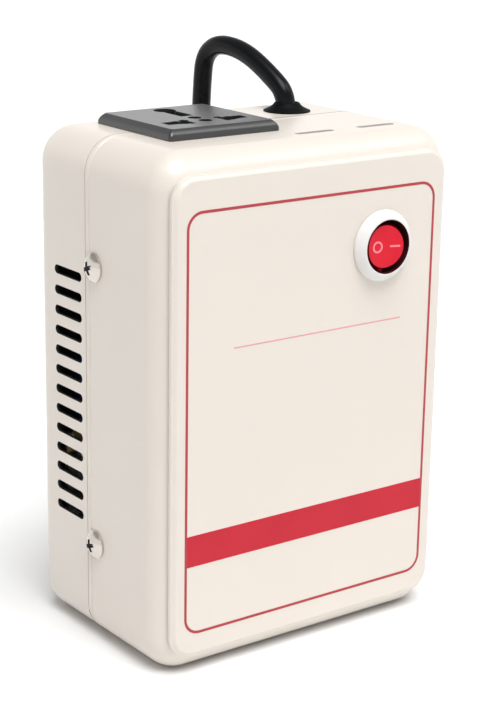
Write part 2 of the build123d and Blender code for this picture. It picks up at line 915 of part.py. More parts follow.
# Put-away coil: winds in on the floor, climbs a layer where it turns back, winds out on top
coil_outer_radius = coil_inner_radius + coil_turns_in * coil_pitch
coil_entry = Vector(*cord_points[-1])
entry_run = coil_entry - Vector(*cord_points[-2])
entry_heading = Vector(entry_run.X, entry_run.Y, 0).normalized()
to_centre = Vector(entry_heading.Y, -entry_heading.X, 0)
spiral_start = coil_entry + entry_heading * (2 * cord_radius)
coil_centre = spiral_start + to_centre * coil_outer_radius
start_angle = math.atan2(-to_centre.Y, -to_centre.X)
climb_start = 2 * coil_turns_in
climb_end = climb_start + 1
climb_middle = (climb_start + climb_end) / 2
last_step = climb_end + 2 * coil_turns_out
reversal_radius = coil_outer_radius - climb_middle * coil_pitch / 2


def coil_station(step):
    """Point and heading on the coil after a number of half turns."""
    radius = reversal_radius + abs(step - climb_middle) * coil_pitch / 2
    angle = start_angle - step * math.pi
    outward = Vector(math.cos(angle), math.sin(angle), 0)
    ahead = Vector(math.sin(angle), -math.cos(angle), 0)
    layers = min(max(step - climb_start, 0), 1)
    climb = Vector(0, 0, 2 * coil_pitch / math.pi / radius if 0 < layers < 1 else 0)
    side = 0 if step in (0, climb_middle, last_step) else (step > climb_middle) * 2 - 1
    drift = outward * (side * coil_pitch / (2 * math.pi * radius))
    place = coil_centre + outward * radius + Vector(0, 0, layers * coil_pitch)
    return place, (ahead + drift + climb).normalized()


def biarc(start, start_heading, end, end_heading):
    """Joint of two arcs that leave start and reach end along the given headings."""
    across = end - start
    both = start_heading + end_heading
    spare = 2 * (1 - start_heading.dot(end_heading))
    reach = -across.dot(both) + math.sqrt(across.dot(both) ** 2 + spare * across.dot(across))
    arm = reach / spare
    first = start + start_heading * arm
    second = end - end_heading * arm
    return (first + second) * 0.5, (second - first).normalized()


steps = sorted([*range(last_step + 1), climb_middle])
stations = [coil_station(step) for step in steps]
coil_end, exit_heading = stations[-1]
tail_end = coil_end + exit_heading * (2 * cord_radius)

with BuildPart() as cord_coil:
    with BuildLine() as coil_path:
        Line(coil_entry, spiral_start)
        for (start, start_heading), (end, end_heading) in zip(stations, stations[1:]):
            middle, middle_heading = biarc(start, start_heading, end, end_heading)
            TangentArc(start, middle, tangent=start_heading)
            TangentArc(middle, end, tangent=middle_heading)
        Line(coil_end, tail_end)
    with BuildSketch(Plane(coil_entry, z_dir=entry_heading)):
        Circle(cord_radius)
    sweep()
cord_coil.part.label = "cord_coil"
export_step(cord_coil.part, "parts/cord_coil.step")


def least_gap(wire, samples, skip):
    """Least gap of the coil's tube to itself, measured on points along its path."""
    path = [wire.position_at(index / samples) for index in range(samples + 1)]
    nearest = min(
        (path[first] - path[second]).length
        for first in range(samples)
        for second in range(first + skip, samples + 1)
    )
    return nearest - 2 * cord_radius


coil_wire = coil_path.wire()
coil_samples = 800
skip_share = 0.08
coil_gap = least_gap(coil_wire, coil_samples, round(coil_samples * skip_share))
print("coil length", round(coil_wire.length, 1), "least gap", round(coil_gap, 2))
section = math.pi * cord_radius**2
print("cord length by volume, lead", round(cord_lead.part.volume / section, 1))
print("cord length by volume, coil", round(cord_coil.part.volume / section, 1))

# Tie: a flat band round the four turns of the coil that lie in a square
tie_step = 1.5
tie_angle = start_angle - tie_step * math.pi
tie_outward = Vector(math.cos(tie_angle), math.sin(tie_angle), 0)
tie_along = Vector(-math.sin(tie_angle), math.cos(tie_angle), 0)
tie_low_radius = reversal_radius + coil_pitch / 2
tie_middle = coil_centre + tie_outward * (tie_low_radius + coil_pitch / 2)
tie_plane = Plane(tie_middle + Vector(0, 0, coil_pitch / 2), x_dir=tie_outward, z_dir=tie_along)
tie_opening = coil_pitch + 2 * cord_radius + 2 * tie_clearance

with BuildPart() as coil_tie:
    with BuildSketch(tie_plane):
        RectangleRounded(
            tie_opening + 2 * tie_thickness,
            tie_opening + 2 * tie_thickness,
            tie_corner_radius + tie_thickness,
        )
        RectangleRounded(tie_opening, tie_opening, tie_corner_radius, mode=Mode.SUBTRACT)
    extrude(amount=tie_width / 2, both=True)
coil_tie.part.label = "coil_tie"
export_step(coil_tie.part, "parts/coil_tie.step")

# Two-pin plug lying flat: round face cut flat above and below, waist and tapered relief
plug_half_thickness = tail_end.Z - plug_floor_gap
plug_side = Vector(-exit_heading.Y, exit_heading.X, 0)
plug_start = Plane(tail_end, x_dir=plug_side, z_dir=exit_heading)
plug_waist = plug_start.offset(plug_relief_length)
plug_front = plug_waist.offset(plug_waist_length)
plug_face = plug_front.offset(plug_front_length)


def plug_outline(inset):
    """Round outline cut flat above and below, with a guide notch on each side."""
    with BuildSketch() as outline:
        Circle(plug_face_radius - inset)
        Rectangle(
            2 * plug_face_radius, 2 * (plug_half_thickness - inset), mode=Mode.INTERSECT
        )
        for side in (-1, 1):
            with Locations((side * plug_face_radius, 0)):
                Rectangle(
                    2 * (plug_notch_depth + inset),
                    plug_notch_width + 2 * inset,
                    mode=Mode.SUBTRACT,
                )
    return outline.sketch


front_outline = plug_outline(0)
face_outline = plug_outline(plug_front_edge)

with BuildPart() as plug_body:
    with BuildSketch(plug_start):
        Circle(plug_relief_tip)
    with BuildSketch(plug_waist):
        Circle(plug_relief_root)
    loft()
    with BuildSketch(plug_waist):
        RectangleRounded(
            2 * plug_relief_root, 2 * plug_relief_root, plug_waist_corner_radius
        )
    with BuildSketch(plug_front):
        RectangleRounded(
            2 * plug_waist_half_width + 2 * plug_waist_corner_radius,
            2 * plug_waist_half_thickness + plug_waist_corner_radius,
            plug_waist_corner_radius,
        )
    loft()
    with BuildSketch(plug_front):
        add(front_outline)
    extrude(amount=plug_front_length - plug_front_edge)
    with BuildSketch(plug_face.offset(-plug_front_edge)):
        add(front_outline)
    with BuildSketch(plug_face):
        add(face_outline)
    loft()
    with BuildSketch(plug_face):
        with GridLocations(pin_spacing, 0, 2, 1):
            Circle(pin_grip_radius + plug_bore_fit)
    extrude(amount=-pin_grip, mode=Mode.SUBTRACT)
plug_body.part.label = "plug_body"
export_step(plug_body.part, "parts/plug_body.step")

with BuildPart() as plug_pins:
    with BuildSketch(plug_face):
        with GridLocations(pin_spacing, 0, 2, 1):
            Circle(pin_radius)
    extrude(amount=pin_length)
    fillet(plug_pins.faces().sort_by(Axis(tail_end, exit_heading))[-2:].edges(), pin_round)
    with BuildSketch(plug_face):
        with GridLocations(pin_spacing, 0, 2, 1):
            Circle(pin_grip_radius)
    extrude(amount=-pin_grip)
plug_pins.part.label = "plug_pins"
print("plug face", plug_face.origin, "heading", exit_heading, "side", plug_side)
export_step(plug_pins.part, "parts/plug_pins.step")

# Transformer: interleaved E and I laminations stood against the back wall
window_length = leg_start_y - leg_end_y
leg_middle_y = (leg_start_y + leg_end_y) / 2
core_bottom = core_middle_height - stack / 2

with BuildPart() as core_e_stack:
    with BuildSketch(Plane.XY.offset(core_bottom)):
        with Locations((0, (core_back_y + leg_end_y) / 2)):
            Rectangle(core_width, core_back_y - leg_end_y)
        with Locations((0, leg_middle_y)):
            with GridLocations(3 * lamination, 0, 2, 1):
                Rectangle(lamination, window_length, mode=Mode.SUBTRACT)
    extrude(amount=stack)
core_e_stack.part.label = "core_e_stack"
export_step(core_e_stack.part, "parts/core_e_stack.step")

with BuildPart() as core_i_stack:
    with BuildSketch(Plane.XY.offset(core_bottom)):
        with Locations((0, (leg_end_y + core_front_y) / 2)):
            Rectangle(core_width, leg_end_y - core_front_y)
    extrude(amount=stack)
core_i_stack.part.label = "core_i_stack"
export_step(core_i_stack.part, "parts/core_i_stack.step")

# Sleeves round the middle leg, each given by how far it lies outside the leg
leg_plane = Plane((0, leg_middle_y, core_middle_height), x_dir=(1, 0, 0), z_dir=(0, -1, 0))
bobbin_length = window_length - 2 * bobbin_gap
winding_length = bobbin_length - 2 * flange_thickness - 2 * winding_gap


def sleeve_form(inner, outer, length):
    """Square sleeve round the core's middle leg, with rounded outer corners."""
    with BuildPart() as form:
        with BuildSketch(leg_plane):
            RectangleRounded(2 * lamination + 2 * outer, stack + 2 * outer, outer)
            Rectangle(2 * lamination + 2 * inner, stack + 2 * inner, mode=Mode.SUBTRACT)
        extrude(amount=length / 2, both=True)
    return form.part


def winding_form(inner, outer, length):
    """Closed winding round the bobbin, its corners rounded by its own distance out."""
    with BuildPart() as form:
        with BuildSketch(leg_plane):
            RectangleRounded(2 * lamination + 2 * outer, stack + 2 * outer, outer)
            RectangleRounded(
                2 * lamination + 2 * inner, stack + 2 * inner, inner, mode=Mode.SUBTRACT
            )
        extrude(amount=length / 2, both=True)
    return form.part


bobbin_outside = bobbin_gap + bobbin_wall
common_inside = bobbin_outside + winding_gap
common_outside = common_inside + common_thickness
series_inside = common_outside + winding_gap
series_outside = series_inside + series_thickness
wrap_inside = series_outside + winding_gap
wrap_outside = wrap_inside + wrap_thickness
flange_half_width = 2 * lamination - bobbin_gap
flange_half_height = stack / 2 + flange_overhang
tag_y = leg_middle_y - bobbin_length / 2 + flange_thickness / 2
tag_bottom = core_middle_height + flange_half_height
tag_spots = [((index - (tag_count - 1) / 2) * tag_spacing, tag_y) for index in range(tag_count)]

sleeve = sleeve_form(bobbin_gap, bobbin_outside, bobbin_length)
with BuildPart() as coil_bobbin:
    add(sleeve)
    for end in (-1, 1):
        flange_plane = leg_plane.offset(end * (bobbin_length - flange_thickness) / 2)
        with BuildSketch(flange_plane):
            Rectangle(2 * flange_half_width, 2 * flange_half_height)
            Rectangle(
                2 * lamination + 2 * bobbin_gap, stack + 2 * bobbin_gap, mode=Mode.SUBTRACT
            )
        extrude(amount=flange_thickness / 2, both=True)
    with BuildSketch(Plane.XY.offset(tag_bottom)):
        with Locations(*tag_spots):
            Rectangle(tag_width, tag_thickness)
    extrude(amount=-tag_foot, mode=Mode.SUBTRACT)
coil_bobbin.part.label = "coil_bobbin"
export_step(coil_bobbin.part, "parts/coil_bobbin.step")

with BuildPart() as winding_tags:
    with BuildSketch(Plane.XY.offset(tag_bottom - tag_foot)):
        with Locations(*tag_spots):
            Rectangle(tag_width, tag_thickness)
    extrude(amount=tag_foot + tag_height)
winding_tags.part.label = "winding_tags"
export_step(winding_tags.part, "parts/winding_tags.step")

common_form = winding_form(common_inside, common_outside, winding_length)
series_form = winding_form(series_inside, series_outside, winding_length)
wrap_form = winding_form(wrap_inside, wrap_outside, winding_length)

with BuildPart() as common_winding:
    add(common_form)
common_winding.part.label = "common_winding"
export_step(common_winding.part, "parts/common_winding.step")

with BuildPart() as series_winding:
    add(series_form)
series_winding.part.label = "series_winding"
export_step(series_winding.part, "parts/series_winding.step")

with BuildPart() as winding_wrap:
    add(wrap_form)
winding_wrap.part.label = "winding_wrap"
export_step(winding_wrap.part, "parts/winding_wrap.step")

# Bracket strapped round the core, bolted through the back wall
bracket_front_y = core_front_y - bracket_sheet
bracket_side_x = core_width / 2 + bracket_sheet
bracket_end_x = bracket_side_x + foot_length
foot_y = wall_inside_y - bracket_sheet

with BuildPart() as core_bracket:
    with BuildSketch(Plane.XY.offset(core_middle_height)):
        with BuildLine():
            outside = Polyline(
                (-bracket_end_x, wall_inside_y),
                (-bracket_end_x, foot_y),
                (-bracket_side_x, foot_y),
                (-bracket_side_x, bracket_front_y),
                (bracket_side_x, bracket_front_y),
                (bracket_side_x, foot_y),
                (bracket_end_x, foot_y),
                (bracket_end_x, wall_inside_y),
                (core_width / 2, wall_inside_y),
                (core_width / 2, core_front_y),
                (-core_width / 2, core_front_y),
                (-core_width / 2, wall_inside_y),
                close=True,
            )
        make_face()
    extrude(amount=bracket_width / 2, both=True)
    front_corners = core_bracket.edges().filter_by(Axis.Z).group_by(Axis.Y)[0]
    fillet(front_corners, bracket_bend_radius - bracket_sheet / 2)
    with BuildSketch(Plane.XZ.offset(-wall_inside_y)):
        with Locations(*bolt_places):
            Circle(bolt_radius + bolt_hole_gap)
    extrude(amount=overrun, mode=Mode.SUBTRACT)
core_bracket.part.label = "core_bracket"
export_step(core_bracket.part, "parts/core_bracket.step")

bolt_seat = Plane.XZ.offset(-back_y)
washer_y = foot_y - washer_thickness
nut_y = washer_y - nut_thickness

with BuildPart() as bracket_bolts:
    with BuildSketch(bolt_seat):
        with Locations(*bolt_places):
            Circle(bolt_head_radius)
    extrude(amount=-bolt_head_rise)
    rims = bracket_bolts.edges().filter_by(GeomType.CIRCLE).group_by(Axis.Y)[-1]
    fillet(rims, bolt_head_rise / 2)
    with BuildSketch(bolt_seat):
        with Locations(*bolt_places):
            Circle(bolt_radius)
    extrude(amount=back_y - nut_y + bolt_end)
bracket_bolts.part.label = "bracket_bolts"
export_step(bracket_bolts.part, "parts/bracket_bolts.step")

with BuildPart() as bracket_nuts:
    with BuildSketch(Plane.XZ.offset(-washer_y)):
        with Locations(*bolt_places):
            RegularPolygon(nut_flats / 2, 6, major_radius=False)
            Circle(bolt_radius + thread_fit, mode=Mode.SUBTRACT)
    extrude(amount=nut_thickness)
bracket_nuts.part.label = "bracket_nuts"
export_step(bracket_nuts.part, "parts/bracket_nuts.step")

# Three washers, and a ring tag in the place of the fourth
earth_bolt = bolt_places[1]
with BuildPart() as bracket_washers:
    with BuildSketch(Plane.XZ.offset(-foot_y)):
        with Locations(*[place for place in bolt_places if place != earth_bolt]):
            Circle(washer_radius)
            Circle(bolt_radius + thread_fit, mode=Mode.SUBTRACT)
    extrude(amount=washer_thickness)
bracket_washers.part.label = "bracket_washers"
export_step(bracket_washers.part, "parts/bracket_washers.step")

with BuildPart() as earth_tag:
    with BuildSketch(Plane.XZ.offset(-foot_y)):
        with Locations(earth_bolt):
            Circle(washer_radius)
        with Locations((earth_bolt[0], earth_bolt[1] + earth_tag_reach / 2)):
            Rectangle(earth_tag_width, earth_tag_reach)
        with Locations(earth_bolt):
            Circle(bolt_radius + thread_fit, mode=Mode.SUBTRACT)
    extrude(amount=washer_thickness)
earth_tag.part.label = "earth_tag"
export_step(earth_tag.part, "parts/earth_tag.step")

# Thermal fuse lying on the winding wrap
fuse_height = core_middle_height + stack / 2 + wrap_outside + fuse_radius
with BuildPart() as thermal_fuse:
    with BuildSketch(Plane((0, leg_middle_y, fuse_height), x_dir=(0, 1, 0), z_dir=(1, 0, 0))):
        Circle(fuse_radius)
    extrude(amount=fuse_length / 2, both=True)
    with BuildSketch(Plane((0, leg_middle_y, fuse_height), x_dir=(0, 1, 0), z_dir=(1, 0, 0))):
        Circle(fuse_lead_radius)
    extrude(amount=fuse_length / 2 + fuse_lead_length, both=True)
thermal_fuse.part.label = "thermal_fuse"
export_step(thermal_fuse.part, "parts/thermal_fuse.step")

# Wires: each ends face to face with the blade, tag or tail that it serves
stub_end = case_height - stub_end_depth
tag_top = tag_bottom + tag_height
tail_bottom = skirt_bottom - pocket_depth + contact_gap - contact_tail_length
earth_tag_top = earth_bolt[1] + earth_tag_reach
earth_tag_y = foot_y - washer_thickness / 2
live_y = bush_y - core_wire_spacing / 2
neutral_y = bush_y + core_wire_spacing / 2
contact_row_y = socket_y + pin_row
left_x = socket_x - round_pin_place
right_x = socket_x + round_pin_place
earth_y = socket_y + earth_pocket_place


def tag_route(start, spot, end, drop_share):
    """Wire that drops from its start, slants across and comes down on a tag."""
    fall = start[2] - end
    return [
        start,
        (start[0], start[1], start[2] - drop_share * fall),
        (*spot, end + wire_rise_share * fall),
        (*spot, end),
    ]


earth_spot = (earth_bolt[0], earth_tag_y)
switched_fall = switch_z - tag_top
wire_routes = [
    [
        (bush_x, live_y, stub_end),
        (bush_x, live_y, stub_end - wire_drop),
        (common_x, live_y - wire_drop, switch_z),
        (common_x, blade_end_y, switch_z),
    ],
    [
        (load_x, blade_end_y, switch_z),
        (load_x, tag_y, switch_z),
        (*tag_spots[3], switch_z - wire_long_drop_share * switched_fall),
        (*tag_spots[3], tag_top),
    ],
    tag_route((bush_x, neutral_y, stub_end), tag_spots[2], tag_top, wire_long_drop_share),
    tag_route((right_x, contact_row_y, tail_bottom), tag_spots[1], tag_top, wire_drop_share),
    tag_route((left_x, contact_row_y, tail_bottom), tag_spots[0], tag_top, wire_drop_share),
    tag_route((socket_x, earth_y, tail_bottom), earth_spot, earth_tag_top, wire_drop_share),
]


def wire_form(points):
    """Insulated wire along straight runs with rounded bends."""
    heading = Vector(*points[1]) - Vector(*points[0])
    with BuildPart() as form:
        with BuildLine():
            FilletPolyline(*points, radius=wire_bend_radius)
        with BuildSketch(Plane(points[0], z_dir=heading)):
            Circle(core_wire_radius)
        sweep()
    return form.part


wire_forms = [wire_form(route) for route in wire_routes]
with BuildPart() as wires:
    for form in wire_forms:
        add(form)
wires.part.label = "wires"
export_step(wires.part, "parts/wires.step")
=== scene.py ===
import math

import bmesh
import bpy
from bpy.props import (
    FloatProperty,
    FloatVectorProperty,
    IntProperty,
    PointerProperty,
)
from bpy.types import Operator, Panel, PropertyGroup
from mathutils import Matrix, Vector


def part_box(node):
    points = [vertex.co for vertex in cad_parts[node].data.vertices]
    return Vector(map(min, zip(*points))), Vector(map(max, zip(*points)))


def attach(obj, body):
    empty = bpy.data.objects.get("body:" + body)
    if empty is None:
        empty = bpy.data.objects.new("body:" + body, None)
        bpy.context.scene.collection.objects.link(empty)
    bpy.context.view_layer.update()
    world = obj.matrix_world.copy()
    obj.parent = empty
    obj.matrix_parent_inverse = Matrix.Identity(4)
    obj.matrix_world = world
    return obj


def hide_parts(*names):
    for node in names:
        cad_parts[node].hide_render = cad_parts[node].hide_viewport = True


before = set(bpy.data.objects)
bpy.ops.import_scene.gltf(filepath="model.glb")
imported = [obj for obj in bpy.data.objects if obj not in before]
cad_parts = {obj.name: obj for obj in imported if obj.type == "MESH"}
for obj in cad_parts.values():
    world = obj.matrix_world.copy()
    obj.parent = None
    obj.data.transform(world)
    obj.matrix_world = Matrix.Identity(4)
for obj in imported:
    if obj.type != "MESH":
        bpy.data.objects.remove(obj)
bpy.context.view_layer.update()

bl_info = {
    "name": "Voltage converter dressing",
    "version": (1, 0, 0),
    "blender": (4, 5, 0),
    "location": "3D View > Sidebar > Converter",
    "description": "Builds the finished surfaces of a mains voltage converter",
    "category": "Object",
}

MM = 0.001
CASE_BODY = "case"
ROCKER_BODY = "rocker"
RIGHTWARDS = (1, 0, 0)
FORWARDS = (0, -1, 0)

# Edges that turn by more than this are shaded sharp
SHARP_ANGLE = math.radians(35)
# How far the cutter of a hole stands out on both sides of the sheet
CUT_REACH = 6 * MM
# Depth of the grain in every finish
GRAIN_DEPTH = 0.1 * MM
# Radians that a wave texture's bands go through in a metre at scale 1
WAVE_RATE = 20
# From the box round the four bolts to their middle lines
BOLT_HEAD = 4 * MM

# Camera fitted to the edges of the case in the photograph
CAMERA_PLACE = Vector((-0.328185, -0.444984, 0.246385))
CAMERA_RIGHT = Vector((0.80724655, -0.59002348, 0.01500985))
CAMERA_DOWN = Vector((-0.15456665, -0.23587877, -0.95941146))
CAMERA_AHEAD = Vector((0.5696158, 0.77216157, -0.28161028))
FOCAL_LENGTH = 91.86
SENSOR_SIDE = 36

# Middle line of the cord from the bush to the coil, in millimetres, and where it meets the plug
CORD_ROUTE = [
    Vector(point)
    for point in (
        (27.8, 14.4, 155.5), (27.8, 14.4, 162.9), (27.1, 22.6, 168.6), (26.1, 33.3, 174.2),
        (25.2, 42.8, 176.2), (24.5, 50.3, 175.4), (24.1, 55.2, 171.0), (24.0, 56.2, 163.2),
        (24.0, 57.0, 149.0), (24.1, 58.3, 121.0), (24.2, 58.7, 79.0), (24.2, 57.9, 49.5),
        (24.0, 56.6, 29.9), (22.4, 66.0, 13.7), (19.5, 82.2, 4.15), (16.2, 100.9, 4.15),
    )
]
PLUG_TAIL = Vector((94.589, 114.733, 10.95)) * MM
PLUG_HEADING = Vector((0.173785, -0.984784, 0))

# Places that the frame gives
low_front, high_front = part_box("front_shell")
low_rear, high_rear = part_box("rear_shell")
low_plate, high_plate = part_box("socket_faceplate")
low_housing, high_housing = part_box("switch_housing")
low_bush, high_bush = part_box("cable_bush")
low_bolts, high_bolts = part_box("bracket_bolts")
case_box = (low_front, Vector((high_front.x, high_rear.y, high_front.z)))
seam = high_front.y
plate_middle = Vector(
    ((low_plate.x + high_plate.x) / 2, (low_plate.y + high_plate.y) / 2, high_front.z)
)
switch_middle = Vector(
    (
        (low_housing.x + high_housing.x) / 2,
        low_front.y,
        (low_housing.z + high_housing.z) / 2,
    )
)
bush_middle = Vector(
    ((low_bush.x + high_bush.x) / 2, (low_bush.y + high_bush.y) / 2, high_front.z)
)
bolt_places = [
    (side * (high_bolts.x - BOLT_HEAD), height)
    for side in (-1, 1)
    for height in (low_bolts.z + BOLT_HEAD, high_bolts.z - BOLT_HEAD)
]

finishes = {}


def length(name, text, millimetres):
    """A length property whose default is given in millimetres."""
    return FloatProperty(
        name=name, description=text, default=millimetres * MM, unit="LENGTH", precision=5
    )


def lengths(name, text, *millimetres):
    """A row of lengths whose defaults are given in millimetres."""
    return FloatVectorProperty(
        name=name, description=text, default=[part * MM for part in millimetres],
        size=len(millimetres), unit="LENGTH", precision=5,
    )


def in_degrees(name, text, degrees):
    """An angle property whose default is given in degrees."""
    return FloatProperty(
        name=name, description=text, default=math.radians(degrees), subtype="ANGLE"
    )


def number(name, text, value):
    """A property that holds a plain number."""
    return FloatProperty(name=name, description=text, default=value)


def count(name, text, value):
    """A property that holds a whole number."""
    return IntProperty(name=name, description=text, default=value)


def group(name, text, kind):
    """A property that holds a group of settings."""
    return PointerProperty(name=name, description=text, type=kind)


def direction(name, text, value):
    """A direction, from the part towards a lamp."""
    return FloatVectorProperty(name=name, description=text, default=value, subtype="DIRECTION")


def colour(name, text, value):
    """A colour property in linear light."""
    return FloatVectorProperty(
        name=name, description=text, default=value, subtype="COLOR", size=3, min=0, max=1
    )


class CaseSettings(PropertyGroup):
    corner_radius: length("Corner radius", "Radius of the edges that run front to back", 11)
    face_radius: length("Face radius", "Radius round the front and back faces", 9.5)
    sheet: length("Sheet", "Thickness of the steel sheet", 1.2)
    panel_width: length("Panel width", "Width of the raised front panel", 98)
    panel_height: length("Panel height", "Height of the raised front panel", 143)
    panel_corner: length("Panel corner", "Corner radius of the raised panel", 6)
    panel_raise: length("Panel raise", "How far the panel stands forward", 1)
    panel_edge: length("Panel edge", "Width of the slope round the panel", 1.7)
    seam_gap: length("Seam gap", "Gap between the two half shells", 0.3)
    hem_place: length("Hem place", "Distance of the pressed line from the seam", 2.0)
    hem_width: length("Hem width", "Width of the pressed line beside the seam", 0.9)
    hem_depth: length("Hem depth", "Depth of the pressed line beside the seam", 0.35)
    vent_length: length("Vent length", "Overall length of a side vent", 15.5)
    vent_width: length("Vent width", "Width of a side vent", 2.8)
    vent_pitch: length("Vent pitch", "Distance from vent to vent", 6.33)
    vent_height: length("Vent height", "Height of the middle vent", 77.3)
    vent_place: length("Vent place", "Distance of the vents' middle behind the seam", 10.3)
    vent_count: count("Vents", "Vents on each side", 13)
    top_vent_length: length("Top vent length", "Overall length of a top vent", 14.4)
    top_vent_place: length("Top vent place", "Distance of the top vents from the panel", 14.4)
    top_vent_side: length("Top vent side", "Distance of the outer top vent from the side", 20.5)
    top_vent_spacing: length("Top vent spacing", "Distance between the top vents", 23.7)
    lip_gap: length("Lip gap", "Gap between the rear half's lip and the sheet", 0.15)
    hole_gap: length("Hole gap", "Gap round a piece that stands in a round hole", 0.2)
    bolt_hole: length("Bolt hole", "Radius of the four holes in the back", 2.2)
    sheet_edge: length("Sheet edge", "Rounding of the sheet's edges", 0.16)
    enamel: colour("Enamel", "Colour of the stoved enamel", (0.724, 0.663, 0.597))
    # Near black inner coat of the case; the same finish is painted shade on the vents' walls, the
    # lip behind the seam and the screws' cross recesses.
    primer_and_shade: colour("Primer", "Colour of the case's inside", (0.012, 0.012, 0.012))


class InkSettings(PropertyGroup):
    frame_width: length("Frame width", "Width of the printed frame, outside", 92.6)
    frame_height: length("Frame height", "Height of the printed frame, outside", 128.8)
    frame_middle: length("Frame middle", "Height of the frame's middle", 77.75)
    frame_corner: length("Frame corner", "Corner radius of the printed frame", 5.4)
    line: length("Line", "Width of the printed line", 0.85)
    band_low: length("Band low", "Lower edge of the printed band", 35.2)
    band_high: length("Band high", "Upper edge of the printed band", 45.0)
    rule_left: length("Rule left", "Left end of the thin rule", -29.4)
    rule_right: length("Rule right", "Right end of the thin rule", 34)
    rule_height: length("Rule height", "Height of the thin rule", 100.3)
    rule_width: length("Rule width", "Width of the thin rule", 0.4)
    film: length("Film", "Thickness of the ink", 0.05)
    line_ink: colour("Line ink", "Ink of the frame", (0.42, 0.05, 0.06))
    rule_ink: colour("Rule ink", "Ink of the thin rule", (0.72, 0.32, 0.33))
    band_ink: colour("Band ink", "Ink of the band", (0.52, 0.016, 0.032))


class SwitchSettings(PropertyGroup):
    bezel_radius: length("Bezel radius", "Outside radius of the round bezel", 11.0)
    bezel_edge: length("Bezel edge", "Height of the bezel's rim", 0.8)
    bezel_bulge: length("Bezel bulge", "Bulge of the bezel's flank", 0.45)
    bezel_lip: length("Bezel lip", "Rounding of the well's mouth", 0.35)
    housing_edge: length("Housing edge", "Rounding of the housing's other edges", 0.25)
    barrel_radius: length("Barrel radius", "Radius of the barrel behind the panel", 9.9)
    well_floor: length("Well floor", "Depth of the well behind the panel", 11.1)
    boss_radius: length("Boss radius", "Radius of the boss on the rocker's back", 2.6)
    boss_length: length("Boss length", "Length of the boss on the rocker's back", 2.4)
    bezel_rise: length("Bezel rise", "How far the bezel stands forward", 3.3)
    well_radius: length("Well radius", "Radius of the well that the rocker turns in", 8.2)
    rocker_gap: length("Rocker gap", "Gap between rocker and well", 0.85)
    rocker_valley: length("Valley", "Distance of the valley in front of the pivot", 3.3)
    rocker_back: length("Rocker back", "Distance of the rocker's back behind the pivot", 3)
    rocker_edge: length("Rocker edge", "Rounding of the rocker's rim", 0.35)
    pivot_depth: length("Pivot depth", "Depth of the pivot behind the panel", 1)
    trunnion_radius: length("Trunnion radius", "Radius of the rocker's trunnions", 1.2)
    trunnion_reach: length("Trunnion reach", "Reach of the trunnions from the middle", 9.4)
    ring_place: length("Ring place", "Distance of the round mark from the valley", 2.5)
    bar_place: length("Bar place", "Distance of the straight mark from the valley", 3.4)
    mark_radius: length("Mark radius", "Outside radius of the round mark", 1.8)
    mark_width: length("Mark width", "Width of the marks' strokes", 0.55)
    bar_length: length("Bar length", "Length of the straight mark", 3.2)
    tilt: in_degrees("Tilt", "Tilt of the rocker at rest", -11)
    red: colour("Red", "Colour of the rocker", (0.68, 0.006, 0.025))
    # Painted shade: the rocker's own red, darkened where its side sits in shade in the well.
    shaded_red: colour("Side red", "Colour of the rocker's side", (0.12, 0.002, 0.004))
    white: colour("White", "Colour of the bezel", (0.74, 0.73, 0.715))
    # Painted shade: the dark maroon stands in for the shade in the recess round the rocker and for
    # the red rocker's reflection in its wall.
    well: colour("Well", "Colour of the well round the rocker", (0.05, 0.006, 0.008))
    mark_ink: colour("Mark ink", "Ink of the rocker's marks", (0.93, 0.27, 0.31))


class OutletSettings(PropertyGroup):
    plate: length("Plate", "Side of the faceplate at its foot", 40)
    plate_top: length("Plate top", "Side of the faceplate's flat top", 36.4)
    plate_rise: length("Plate rise", "Height of the faceplate", 3.3)
    plate_edge: length("Plate edge", "Upright edge at the foot", 0.7)
    plate_bulge: length("Plate bulge", "Bulge of the faceplate's flanks", 0.42)
    corner: length("Corner", "Rounding of the plate's corners at its foot", 1.2)
    corner_top: length("Corner top", "Rounding of the plate's corners at its top", 0.84)
    soft_edge: length("Soft edge", "Rounding of the moulded edges", 0.35)
    pin_row: length("Pin row", "Place of the live pins behind the middle", -9)
    round_hole: lengths("Round holes", "Place beside the middle and radius", 9.5, 2.7)
    wide_slot: lengths("Wide slots", "Place beside the middle, width, depth", 11.1, 6.7, 4.5)
    blade_slot: lengths("Blade slots", "Place beside the middle, width, depth", 6.4, 2.1, 7.4)
    slant_slot: lengths("Slanting slots", "Place beside the middle, width, depth", 7.1, 2, 7)
    slant: in_degrees("Slant", "Turn of the slanting slots", 30)
    earth_hole: lengths("Earth hole", "Place behind the middle and radius", 12.6, 3.5)
    earth_slot: lengths("Earth slot", "Place behind the middle, width, depth", 6.45, 4.5, 12.3)
    small_holes: lengths("Small holes", "Two places behind the middle and radius", -3.6, -9.2, 2.1)
    hole: length("Hole", "Side of the square hole in the case under the plate", 34.4)
    skirt: length("Skirt", "Side of the skirt inside the case", 33.6)
    black: colour("Black", "Colour of the moulding", (0.012, 0.0125, 0.014))


class CordSettings(PropertyGroup):
    radius: length("Radius", "Radius of the cord", 3.15)
    coil_pitch: length("Coil pitch", "Distance from turn to turn of the coil", 6.8)
    coil_inner: length("Coil inner", "Radius of the inner turn", 26.2)
    turns_in: count("Turns in", "Turns of the lower layer", 2)
    turns_out: count("Turns out", "Turns of the upper layer", 2)
    whole: length("Whole length", "Length of the cord from bush to plug", 1171)
    black: colour("Black", "Colour of the sheath", (0.003, 0.0035, 0.0045))


